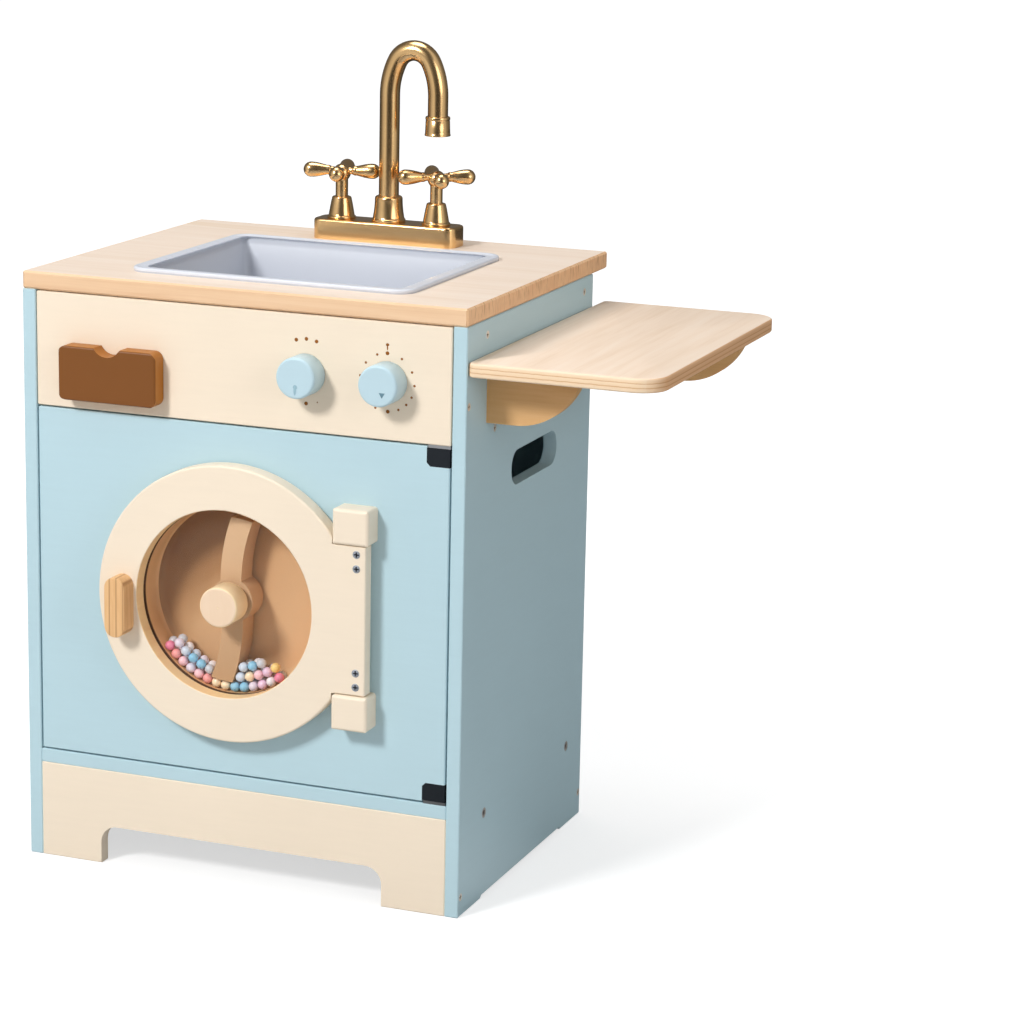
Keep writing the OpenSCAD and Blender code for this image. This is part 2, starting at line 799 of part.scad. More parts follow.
module cabinet_door() color("lightblue") difference() {
  eased([-door_x, 0, door_z0], [2 * door_x, board_t, door_z1 - door_z0]);
  translate([bore_x, 0, ring_z]) along_y(-1, board_t + 2) circle(hole_r);
  for (up = [true, false]) along_y(-1, board_t + 2) clip_outline(up, 1);
  translate([magnet_x, -1, magnet_z]) rotate([-90, 0, 0]) cylinder(h = magnet_t + 1, r = magnet_r + glue_fit);
  block_screw_set(glue_fit);
}

module door_magnet() color("silver") translate([magnet_x, 0, magnet_z]) rotate([-90, 0, 0])
  cylinder(h = magnet_t, r = magnet_r);

// Hinge blocks of the round door: rounded in front and flat behind

module hinge_block(s) difference() {
  z0 = s > 0 ? ring_z + ear_h / 2 + end_play : ring_z - ear_h / 2 - end_play - block_h;
  translate([block_x1 - block_w / 2, 0, z0 + block_h / 2]) rotate([90, 0, 0])
    soft_block(block_w, block_h, block_t, block_edge, block_edge);
  translate([pin_x, pin_y, s > 0 ? z0 - 1 : z0 + block_h - pin_in_block - end_play])
    cylinder(h = pin_in_block + end_play + 1, r = pin_d / 2 + run_fit);
  block_screw_set(glue_fit);
}

module hinge_block_upper() color("antiquewhite") hinge_block(1);

module hinge_block_lower() color("antiquewhite") hinge_block(-1);

module block_screw_set(grow = 0) for (s = [-1, 1], x = [block_x1 - block_w + block_screw_in])
  translate([x, board_t, ring_z + s * (ear_h / 2 + block_h / 2)]) rotate([-90, 0, 0])
    screw(board_t + block_t - block_skin, grow);

module block_screws() color("dimgray") block_screw_set();

// Round door

module ring_profile() {
  square([ring_r - ring_edge, ring_t]);
  translate([0, ring_edge]) square([ring_r, ring_t - 2 * ring_edge]);
  for (y = [ring_edge, ring_t - ring_edge]) translate([ring_r - ring_edge, y]) circle(ring_edge);
}

// The opening with its front edge rounded
module bore_profile() {
  translate([0, -1]) square([bore_r, ring_t + 2]);
  difference() {
    translate([0, -1]) square([bore_r + bore_edge, bore_edge + 1]);
    translate([bore_r + bore_edge, bore_edge]) circle(bore_edge);
  }
}

// The ear reaches from the ring to the hinge axis, its back corner rounded about the axis
module ear() difference() {
  eased([-ring_x + ear_root, ring_front, ring_z - ear_h / 2], [ear_reach - ear_root, ring_t, ear_h]);
  difference() {
    translate([pin_x, pin_y, ring_z - ear_h]) cube([ear_reach, ring_t, 2 * ear_h]);
    translate([pin_x, pin_y, ring_z - ear_h]) cylinder(h = 2 * ear_h, r = ear_swing_r);
  }
}

// The ring is cut back round the hinge axis above and below the ear, to swing past the blocks
module porthole_ring() color("antiquewhite") difference() {
  union() {
    translate([-ring_x, 0, ring_z]) about_y(ring_front) ring_profile();
    ear();
  }
  translate([bore_x, 0, ring_z]) about_y(ring_front) bore_profile();
  translate([bore_x, 0, ring_z]) along_y(window_front - face_gap / 2, ring_t) circle(window_r + face_gap / 2);
  for (s = [-1, 1]) {
    translate([pin_x, pin_y, ring_z + s * (ear_h / 2 - (pin_in_ear - 1) / 2)])
      cylinder(h = pin_in_ear + 1, r = pin_d / 2 + glue_fit, center = true);
    translate([pin_x, pin_y, ring_z + s * (ear_h / 2 + block_h / 2)])
      cylinder(h = block_h, r = block_swing_r + relief_gap, center = true);
  }
  pin_screw_set(glue_fit);
  pull_screw_set(glue_fit);
  translate([magnet_x, ring_back - magnet_t, magnet_z]) rotate([-90, 0, 0])
    cylinder(h = magnet_t + 1, r = magnet_r + glue_fit);
}

module porthole_window() color([0.9, 0.95, 1, 0.3]) translate([bore_x, 0, ring_z])
along_y(window_front, window_t) difference() {
  circle(window_r);
  circle(shaft_d / 2 + face_gap);
}

module drum_cup() color("tan") translate([bore_x, 0, ring_z]) about_y(ring_back) difference() {
  cup_half(cup_r, drum_depth + drum_floor, drum_round);
  translate([0, -1]) cup_half(bore_r, drum_depth + 1, drum_round);
  translate([0, -1]) square([shaft_d / 2 + run_fit, drum_depth + drum_floor + 2]);
}

module hinge_pin(s)
  translate([pin_x, pin_y, ring_z + s * (ear_h / 2 + (end_play + pin_in_block - pin_in_ear) / 2)])
    cylinder(h = pin_in_block + pin_in_ear - 1, d = pin_d, center = true);

module hinge_pin_upper() color("silver") hinge_pin(1);

module hinge_pin_lower() color("silver") hinge_pin(-1);

// Screws through the front of the ear that clamp the hinge pins
module pin_screw_set(grow = 0) for (s = [-1, 1], dz = pin_screw_y)
  translate([pin_x, ring_front, ring_z + s * (ear_h / 2 - dz)]) rotate([90, 0, 0])
    screw(ring_t / 2 - pin_d / 2 - glue_fit - (grow > 0 ? 0 : screw_ease), grow);

module pin_screws() color("dimgray") pin_screw_set();

module door_pull() color("burlywood") difference() {
  translate([pull_x, ring_front, pull_z]) rotate([90, 0, 0])
    soft_block(pull_w, pull_h, pull_t, pull_w / 2 - eps, pull_edge);
  pull_screw_set(glue_fit);
}

module pull_screw_set(grow = 0) for (s = [-1, 1])
  translate([pull_x, ring_back, pull_z + s * pull_screw_z]) rotate([-90, 0, 0])
    screw(ring_t + pull_bite, grow);

module pull_screws() color("dimgray") pull_screw_set();

module ring_magnet() color("silver") translate([magnet_x, ring_back - magnet_t, magnet_z])
  rotate([-90, 0, 0]) cylinder(h = magnet_t, r = magnet_r);

// Bead drum

// One arm of the paddle, curved towards the right as it rises
module paddle_arm() intersection() {
  circle(paddle_r);
  translate([paddle_curve, 0]) difference() {
    circle(paddle_curve + paddle_w / 2, $fn = 180);
    circle(paddle_curve - paddle_w / 2, $fn = 180);
  }
  translate([-paddle_r, 0]) square([2 * paddle_r, paddle_r]);
}

module drum_paddle() color("tan") translate([bore_x, 0, ring_z]) along_y(paddle_front, paddle_t)
rotate(paddle_tilt) difference() {
  union() {
    paddle_arm();
    rotate(180) paddle_arm();
    circle(knob_d / 2 + 2);
  }
  circle(shaft_d / 2 + glue_fit);
}

module paddle_shaft() color("burlywood") translate([bore_x, knob_back - knob_l + knob_face, ring_z])
  rotate([-90, 0, 0]) cylinder(h = cup_back + face_gap - knob_back + knob_l - knob_face, d = shaft_d);

module hub_knob() color("antiquewhite") translate([bore_x, knob_back - knob_l, ring_z]) rotate([-90, 0, 0])
difference() {
  rotate_extrude() polygon([
    [0, 0], [knob_d / 2 - dial_chamfer, 0], [knob_d / 2, dial_chamfer], [knob_d / 2, knob_l], [0, knob_l]
  ]);
  translate([0, 0, knob_face - face_gap]) cylinder(h = knob_l, r = shaft_d / 2 + glue_fit);
}

module shaft_washer() color("silver") translate([bore_x, cup_back + face_gap, ring_z])
rotate([-90, 0, 0]) {
  cylinder(h = washer_t, r = shaft_d);
  translate([0, 0, washer_t]) cylinder(h = 2, r1 = head_r + 1, r2 = head_r);
}

// A row of n beads round the drum: row 0 touches the wall, and a0 is the angle of the first bead
module bead_row(row, layer, a0, n) {
  r = bead_wall_r - row * bead_step;
  step = 2 * asin(bead_step / 2 / r);
  for (i = [0 : n - 1]) rotate([0, -a0 - i * step, 0])
    translate([r, ring_back + face_gap + bead_r + layer * bead_step, 0]) sphere(d = bead_d, $fn = 24);
}

// Two layers of beads: one row under the paddle, with more rows on it at either side
module beads() color("pink") translate([bore_x, 0, ring_z]) for (layer = [0, 1]) {
  lean = bead_lean * layer;
  bead_row(0, layer, left_beads - lean, row_beads[0]);
  bead_row(1, layer, left_beads + left_rise - lean, row_beads[1]);
  bead_row(1, layer, right_beads + lean, row_beads[1] - layer);
  bead_row(2, layer, right_beads + right_rise + lean, row_beads[2] - layer);
}

// Fascia

module dial(x) translate([x, -dial_gap - dial_l, fascia_z + dial_z]) rotate([-90, 0, 0]) difference() {
  rotate_extrude() polygon([
    [0, 0], [dial_d / 2 - dial_chamfer, 0], [dial_d / 2, dial_chamfer], [dial_d / 2, dial_l], [0, dial_l]
  ]);
  translate([0, 0, dial_l - spindle_grip]) cylinder(h = spindle_grip + 1, r = spindle_d / 2 + glue_fit);
}

module spindle(x) translate([x, -dial_gap - spindle_grip + face_gap, fascia_z + dial_z])
  rotate([-90, 0, 0]) cylinder(h = board_t + dial_gap + spindle_grip, d = spindle_d);

module dial_washer(x) translate([x, board_t + face_gap, fascia_z + dial_z]) rotate([-90, 0, 0]) {
  cylinder(h = washer_t, r = washer_r);
  translate([0, 0, washer_t]) cylinder(h = 2, r1 = head_r, r2 = head_r - 1);
}

module program_knob() color("lightblue") dial(dial_x1);

module program_spindle() color("burlywood") spindle(dial_x1);

module program_washer() color("silver") dial_washer(dial_x1);

module timer_knob() color("lightblue") dial(dial_x2);

module timer_spindle() color("burlywood") spindle(dial_x2);

module timer_washer() color("silver") dial_washer(dial_x2);

// The drawer front has a finger notch in its top edge
module soap_outline() difference() {
  round_rect(soap_w, soap_h, soap_r);
  notch_r = (pow(notch_w / 2, 2) + pow(notch_depth, 2)) / (2 * notch_depth);
  translate([0, soap_h / 2 - notch_depth + notch_r]) circle(notch_r);
}

module soap_front() color("saddlebrown") difference() {
  translate([-soap_x, -soap_gap, soap_mid_z]) intersection() {
    along_y(-soap_t, soap_t) soap_outline();
    rotate([90, 0, 0]) soft_block(soap_w, soap_h, soap_t, soap_r, soap_edge);
  }
  soap_screw_set(glue_fit);
}

module soap_tray() color("burlywood") difference() {
  translate([-soap_x - tray_w / 2, -soap_gap, soap_mid_z - tray_h / 2]) cube([tray_w, tray_d, tray_h]);
  translate([-soap_x - tray_w / 2 + tray_wall, -soap_gap + tray_wall, soap_mid_z - tray_h / 2 + tray_wall])
    cube([tray_w - 2 * tray_wall, tray_d - 2 * tray_wall, tray_h]);
  soap_screw_set(glue_fit);
}

module soap_screw_set(grow = 0) for (s = [-1, 1])
  translate([-soap_x + s * tray_w / 4, tray_wall - soap_gap, soap_mid_z - soap_screw_z]) rotate([-90, 0, 0])
    screw(tray_wall + soap_bite, grow);

module soap_screws() color("dimgray") soap_screw_set();

// The housing lies on the divider shelf: a bed, two cheeks and a back stop
module soap_housing() color("wheat") {
  w = tray_w + 2 * (tray_gap + cheek_t);
  bed_h = soap_mid_z - tray_h / 2 - face_gap - divider_top;
  l = tray_d - soap_gap + face_gap + cheek_t - board_t;
  translate([-soap_x - w / 2, board_t, divider_top]) difference() {
    cube([w, l, bed_h + cheek_h]);
    translate([cheek_t, -1, bed_h]) cube([w - 2 * cheek_t, l + 1 - cheek_t, tray_h]);
  }
}

in_frame() side_panel_left();
in_frame() side_panel_right();
in_frame() back_panel();
in_frame() bottom_shelf();
in_frame() divider_shelf();
in_frame() plinth();
in_frame() control_panel();
in_frame() worktop();
in_frame() top_cleats();
in_frame() base_battens();
in_frame() side_screws();
in_frame() frame_bolts();
in_frame() sink_basin();
in_frame() tap_base();
in_frame() tap_bonnets();
in_frame() tap_collar();
in_frame() tap_screws();
in_frame() tap_spout();
in_frame() tap_nozzle();
in_frame() tap_handle_left();
in_frame() tap_handle_right();
in_frame() ironing_board();
in_frame() bracket_front();
in_frame() bracket_rear();
in_frame() bracket_screws();
in_frame() pivot_plate_upper();
in_frame() pivot_plate_lower();
in_frame() catch_housing();
in_frame() soap_housing();
in_frame() soap_front();
in_frame() soap_tray();
in_frame() soap_screws();
in_frame() program_knob();
in_frame() program_spindle();
in_frame() program_washer();
in_frame() timer_knob();
in_frame() timer_spindle();
in_frame() timer_washer();
in_frame() cabinet_door();
in_frame() pivot_clip_upper();
in_frame() pivot_clip_lower();
in_frame() strike_plate();
in_frame() door_magnet();
in_frame() hinge_block_upper();
in_frame() hinge_block_lower();
in_frame() block_screws();
in_frame() porthole_ring();
in_frame() porthole_window();
in_frame() drum_cup();
in_frame() hinge_pin_upper();
in_frame() hinge_pin_lower();
in_frame() pin_screws();
in_frame() door_pull();
in_frame() pull_screws();
in_frame() ring_magnet();
in_frame() beads();
in_frame() drum_paddle();
in_frame() paddle_shaft();
in_frame() hub_knob();
in_frame() shaft_washer();
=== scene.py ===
# Play washing machine: finishes, fine parts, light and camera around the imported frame.
import math
import bmesh
import bpy
import numpy as np
from mathutils import Matrix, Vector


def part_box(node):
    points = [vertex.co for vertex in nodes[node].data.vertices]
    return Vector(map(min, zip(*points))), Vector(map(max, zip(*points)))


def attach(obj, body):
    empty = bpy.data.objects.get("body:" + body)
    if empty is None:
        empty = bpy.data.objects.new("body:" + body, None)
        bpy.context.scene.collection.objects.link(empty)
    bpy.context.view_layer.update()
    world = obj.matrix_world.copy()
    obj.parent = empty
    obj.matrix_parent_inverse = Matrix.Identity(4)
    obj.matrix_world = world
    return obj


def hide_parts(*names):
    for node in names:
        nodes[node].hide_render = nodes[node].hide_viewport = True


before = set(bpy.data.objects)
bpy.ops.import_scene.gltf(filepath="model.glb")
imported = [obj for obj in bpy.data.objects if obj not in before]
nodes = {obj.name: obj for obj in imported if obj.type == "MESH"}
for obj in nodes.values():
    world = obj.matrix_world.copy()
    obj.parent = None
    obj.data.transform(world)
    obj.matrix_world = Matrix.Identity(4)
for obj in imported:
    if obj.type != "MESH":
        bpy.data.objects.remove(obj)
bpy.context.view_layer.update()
mm = 0.001
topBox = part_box("worktop")
shift = ((topBox[0][0] + topBox[1][0]) / 2, topBox[0][1], 0)  # middle front of the cabinet on the floor
print("frame loaded:", len(nodes), "nodes")


def tint(red, green, blue):
    # display colour out of 255 to the linear values that shaders take
    values = np.array((red, green, blue)) / 255
    linear = np.where(values <= 0.04045, values / 12.92, ((values + 0.055) / 1.055) ** 2.4)
    return tuple(float(v) for v in linear)


class Wire:
    # one output socket; arithmetic on it adds Math nodes
    def __init__(self, bench, socket):
        self.bench = bench
        self.socket = socket

    def combine(self, operation, first, second):
        return self.bench.add("ShaderNodeMath", dict(operation=operation), {0: first, 1: second}).out(0)

    def __add__(self, other):
        return self.combine("ADD", self, other)

    def __radd__(self, other):
        return self.combine("ADD", other, self)

    def __sub__(self, other):
        return self.combine("SUBTRACT", self, other)

    def __mul__(self, other):
        return self.combine("MULTIPLY", self, other)

    def __truediv__(self, other):
        return self.combine("DIVIDE", self, other)

    def __pow__(self, other):
        return self.combine("POWER", self, other)

    def __gt__(self, other):
        return self.combine("GREATER_THAN", self, other)

    def __lt__(self, other):
        return self.combine("LESS_THAN", self, other)

    def __abs__(self):
        return self.combine("ABSOLUTE", self, 0.0)

    def wrap(self, period):
        return self.combine("PINGPONG", self, period)


class Made:
    # a node that was just placed
    def __init__(self, bench, node):
        self.bench = bench
        self.node = node

    def out(self, name):
        return Wire(self.bench, self.node.outputs[name])


class Bench:
    # the node tree of one material
    def __init__(self, tree):
        self.tree = tree
        tree.nodes.clear()

    def add(self, kind, settings=None, values=None):
        node = self.tree.nodes.new(kind)
        for key, value in (settings or {}).items():
            if key == "stops":
                ramp = node.color_ramp
                while len(ramp.elements) < len(value):
                    ramp.elements.new(0.5)
                for element, (place, colour) in zip(ramp.elements, value):
                    element.position = place
                    element.color = (*colour, 1)
            else:
                setattr(node, key, value)
        for key, value in (values or {}).items():
            socket = node.inputs[key]
            if isinstance(value, Wire):
                self.tree.links.new(value.socket, socket)
            elif socket.type == "RGBA" and len(value) == 3:
                socket.default_value = (*value, 1)
            else:
                socket.default_value = value
        return Made(self, node)

    def place(self, scale=(1, 1, 1)):
        # the piece's own position, stretched
        spot = self.add("ShaderNodeTexCoord").out("Object")
        return self.add("ShaderNodeMapping", None, {"Vector": spot, "Scale": scale}).out("Vector")

    def noise(self, vector, scale=1.0, detail=3.0, rough=0.5, bend=0.0):
        return self.add("ShaderNodeTexNoise", None, {"Vector": vector, "Scale": scale, "Detail": detail,
                                                     "Roughness": rough, "Distortion": bend}).out(0)

    def blend(self, share, first, second):
        # Mix node on colours: 0 is the share, 6 and 7 are the two colours
        return self.add("ShaderNodeMix", dict(data_type="RGBA"), {0: share, 6: first, 7: second}).out(2)

    def ramp(self, value, stops):
        return self.add("ShaderNodeValToRGB", dict(stops=stops), {0: value}).out(0)

    def axes(self, vector):
        parts = self.add("ShaderNodeSeparateXYZ", None, {0: vector})
        return parts.out(0), parts.out(1), parts.out(2)

    def facing(self):
        # how far the surface faces along the piece's own x, y and z, without sign
        x, y, z = self.axes(self.add("ShaderNodeTexCoord").out("Normal"))
        return abs(x), abs(y), abs(z)

    def away(self, look):
        # how far a point is from the axis along y through the look's x and z
        x, _, z = self.axes(self.place())
        return ((x - look["x"]) ** 2.0 + (z - look["z"]) ** 2.0) ** 0.5

    def tone(self):
        # the colour that the piece's mesh carries
        return self.add("ShaderNodeAttribute", dict(attribute_name="tone")).out("Color")

    def bump(self, height, strength, depth):
        return self.add("ShaderNodeBump", None, {"Height": height, "Strength": strength,
                                                 "Distance": depth}).out(0)

    def finish(self, **values):
        # Principled surface; underscores in the names stand for spaces
        named = {key.replace("_", " "): value for key, value in values.items()}
        surface = self.add("ShaderNodeBsdfPrincipled", None, named).out(0)
        self.add("ShaderNodeOutputMaterial", None, {"Surface": surface})


def newMaterial(name):
    material = bpy.data.materials.new(name)
    material.use_nodes = True
    return material, Bench(material.node_tree)


def paintedWood(name, look):
    # sprayed paint: faint cloudy change of tone, fine orange peel, and grain that shows through;
    # a side colour goes on the faces that don't look along y, and inside a bore radius about an axis the tone
    # turns to a tan grained ramp
    material, bench = newMaterial(name)
    spot = bench.place()
    cloud = bench.noise(spot, look["cloud"], detail=2.0)
    fibre = bench.noise(bench.place(look["grain"]), detail=4.0, rough=0.6)
    peel = bench.noise(spot, look["peel"], detail=2.0)
    tone = bench.ramp(cloud * 0.6 + fibre * 0.4, [(place, tuple(c * look[share] for c in look["colour"]))
                                                  for place, share in ((0.3, "dark"), (0.7, "light"))])
    if "side" in look:
        tone = bench.blend(bench.facing()[1] < 0.5, tone, look["side"])
    if "bore" in look:
        tone = bench.blend(bench.away(look) < look["bore"], tone, bench.ramp(fibre, look["stops"]))
    bench.finish(Base_Color=tone, Roughness=look["rough"] + fibre * 0.08,
                 Specular_IOR_Level=0.4,
                 Normal=bench.bump(peel * 0.7 + fibre * 0.6, look["bump"], depth=0.0004))
    return material


# shares of a line's or a speck's own colour, by the distance from its middle or by the noise
growthShare = [(0.0, (1, 1, 1)), (0.07, (0, 0, 0))]
glueShare = [(0.0, (1, 1, 1)), (0.1, (0.5, 0.5, 0.5)), (0.16, (0, 0, 0))]
speckShare = [(0.54, (0, 0, 0)), (0.7, (0.8, 0.8, 0.8))]


def stretched(bench, look, across, length):
    # the piece's own position, drawn out along the grain
    scale = [across] * 3
    scale["xyz".index(look["along"])] = length
    return bench.place(tuple(scale))


def grainedWood(name, look):
    # streaks, fibres and pores along one axis, and thin growth lines that wander across it;
    # faces along the axes in edges show the end, the plies, or on the hub knob's side a lighter tone that is
    # painted light; softly round a corner where an edge says so
    material, bench = newMaterial(name)
    across, length = look["across"], look["length"]
    streak = bench.noise(stretched(bench, look, across * 0.2, length * 0.3), detail=2.0, bend=0.6)
    fibre = bench.noise(stretched(bench, look, across, length), detail=5.0, rough=0.6, bend=0.2)
    pore = bench.noise(stretched(bench, look, across * 5, length * 3), detail=2.0)
    band = stretched(bench, look, look["band"], look["band"] * 0.07)
    growth = bench.noise(band, detail=1.5, rough=0.4, bend=0.9)
    line = bench.ramp((growth * look["rings"]).wrap(0.5), growthShare)
    value = streak * 0.45 + fibre * 0.4 + pore * 0.15
    colour = bench.blend(line, bench.ramp(value, look["stops"]), look["line"])
    faces = dict(zip("xyz", bench.facing()))
    for axis, edge in look.get("edges", {}).items():
        if "plies" in edge:
            along = bench.axes(bench.place())[2]
            share = (along - edge["base"]) / edge["thick"] + fibre * 0.1 - 0.05
            tone = bench.ramp(share, edge["plies"])
        else:
            tone = bench.ramp(value, edge["stops"])
        if "speck" in edge:
            dots = bench.ramp(bench.noise(bench.place(edge["speck"]), detail=2.0), speckShare)
            tone = bench.blend(dots, tone, edge["dark"])
        cover = (faces[axis] - edge["start"]) / edge["span"] if "span" in edge else faces[axis] > 0.5
        colour = bench.blend(cover, colour, tone)
    bench.finish(Base_Color=colour, Roughness=look["rough"] + fibre * 0.12, Specular_IOR_Level=0.3,
                 Normal=bench.bump(fibre * 0.6 + pore * 0.4, look["bump"], depth=0.0004))
    return material


def layeredWood(name, look):
    # plywood seen on edge: thin dark glue lines across one axis, fibres along another
    material, bench = newMaterial(name)
    grain = stretched(bench, look, look["across"], look["length"])
    fibre = bench.noise(grain, detail=4.0, rough=0.6, bend=0.2)
    parts = dict(zip("xyz", bench.axes(bench.place())))
    wave = bench.noise(bench.place((9.0, 9.0, 9.0)), detail=2.0)
    layer = ((parts[look["axis"]] - look["start"]) / look["thick"] + wave * look["wander"]).wrap(0.5)
    tone = bench.blend(bench.ramp(layer, glueShare), bench.ramp(fibre, look["stops"]), look["line"])
    bench.finish(Base_Color=tone, Roughness=look["rough"] + fibre * 0.1,
                 Normal=bench.bump(fibre, look["bump"], depth=0.0003), Specular_IOR_Level=0.3)
    return material


def paintedShadeWood(name, look):
    # smooth turned wood with painted shade: darker towards one side, as if shaded there; a round wall gets a
    # lighter tone, painted light, and its front edge a dark line, a painted shadow
    material, bench = newMaterial(name)
    grain = stretched(bench, look, look["across"], look["length"])
    fibre = bench.noise(grain, detail=4.0, rough=0.55, bend=0.2)
    cloud = bench.noise(bench.place(), look["cloud"], detail=2.0)
    x, y, z = bench.axes(bench.place())
    # painted shade: the tone darkens along the pull direction from the axis
    lean = (x - look["x"]) * look["pull"][0] + (z - look["z"]) * look["pull"][1]
    share = lean / look["reach"] + 0.5 + (cloud - 0.5) * 0.25 + (fibre - 0.5) * 0.06
    tone = bench.ramp(share, look["stops"])
    # painted light: the round wall takes a lighter tone; painted shadow: a dark line along the front edge
    if "wall" in look:
        tone = bench.blend(bench.away(look) > look["wall"], tone, look["light"])
        tone = bench.blend(y < look["front"], tone, look["line"])
    bench.finish(Base_Color=tone, Roughness=look["rough"] + fibre * 0.1,
                 Normal=bench.bump(fibre, look["bump"], depth=0.0002), Specular_IOR_Level=0.3)
    return material


def brushedMetal(name, look):
    material, bench = newMaterial(name)
    spot = bench.place()
    smear = bench.noise(spot, look["smear"])
    fine = bench.noise(spot, look["fine"], detail=2.0)
    tone = bench.blend(smear, look["dark"], look["light"])
    bench.finish(Base_Color=tone, Metallic=look["metal"], Roughness=look["rough"] + smear * look["spread"],
                 Normal=bench.bump(fine, look["bump"], depth=0.0003))
    return material


def mouldedPlastic(name, look):
    material, bench = newMaterial(name)
    spot = bench.place()
    cloud = bench.noise(spot, look["cloud"], detail=2.0)
    fine = bench.noise(spot, look["fine"])
    tone = bench.blend(cloud, look["dark"], look["light"])
    # above the rim's height the tone turns paler: a painted highlight for the rim's gloss
    if "rim" in look:
        tone = bench.blend(bench.axes(spot)[2] > look["rim"], tone, look["pale"])
    bench.finish(Base_Color=tone, Roughness=look["rough"] + fine * 0.1, Coat_Weight=look["coat"],
                 Coat_Roughness=0.15, Normal=bench.bump(fine, look["bump"], depth=0.0002),
                 Specular_IOR_Level=0.25)
    return material


def carriedMetal(name, look):
    # metal whose colour is on the mesh, a little smeared
    material, bench = newMaterial(name)
    smear = bench.noise(bench.place(), look["smear"])
    tone = bench.blend(smear * 0.3, bench.tone(), (0.02, 0.02, 0.02))
    bench.finish(Base_Color=tone, Metallic=look["metal"], Roughness=look["rough"] + smear * 0.15,
                 Normal=bench.bump(smear, look["bump"], depth=0.0002))
    return material


def carriedPlastic(name, look):
    # plastic whose colour is on the mesh
    material, bench = newMaterial(name)
    cloud = bench.noise(bench.place(), look["cloud"], detail=2.0)
    tone = bench.blend(cloud * 0.25, bench.tone(), (1.0, 1.0, 1.0))
    bench.finish(Base_Color=tone, Roughness=look["rough"] + cloud * 0.1, Coat_Weight=look["coat"],
                 Normal=bench.bump(cloud, look["bump"], depth=0.0002))
    return material


def clearPanel(name, look):
    material, bench = newMaterial(name)
    smudge = bench.noise(bench.place(), look["smudge"])
    bench.finish(Base_Color=look["colour"], Roughness=look["rough"] + smudge * 0.05,
                 Alpha=look["alpha"] + smudge * 0.01, Specular_IOR_Level=0.15)
    return material


# Finishes: for each one the function that makes it and its look
drumAxis = dict(x=shift[0] - 0.0065, z=0.249)
paintLook = dict(cloud=6.0, grain=(22.0, 22.0, 260.0), peel=900.0, dark=0.975, light=1.02, rough=0.42,
                 bump=0.08)
creamLook = dict(paintLook, colour=tint(243, 227, 205))
printLook = dict(cloud=200.0, fine=900.0, rough=0.6, coat=0.0, bump=0.05)
# painted light: the hub knob's round side is lighter and warmer than its front
peachSidePaintedLight = dict(stops=[(0.3, tint(250, 226, 184)), (0.7, tint(254, 232, 192))])
plyStops = [(0.0, tint(236, 200, 160)), (0.12, tint(246, 220, 188)), (0.3, tint(244, 214, 180)),
            (0.34, tint(212, 166, 118)), (0.4, tint(242, 212, 176)), (0.6, tint(246, 220, 188)),
            (0.64, tint(214, 168, 122)), (0.7, tint(242, 212, 176)), (0.9, tint(246, 220, 190)),
            (1.0, tint(240, 208, 170))]
sideWarmth = (0.9, 0.7, 0.54)  # the board's long edge is browner than its end
sidePlyStops = [(at, tuple(c * w for c, w in zip(colour, sideWarmth))) for at, colour in plyStops]
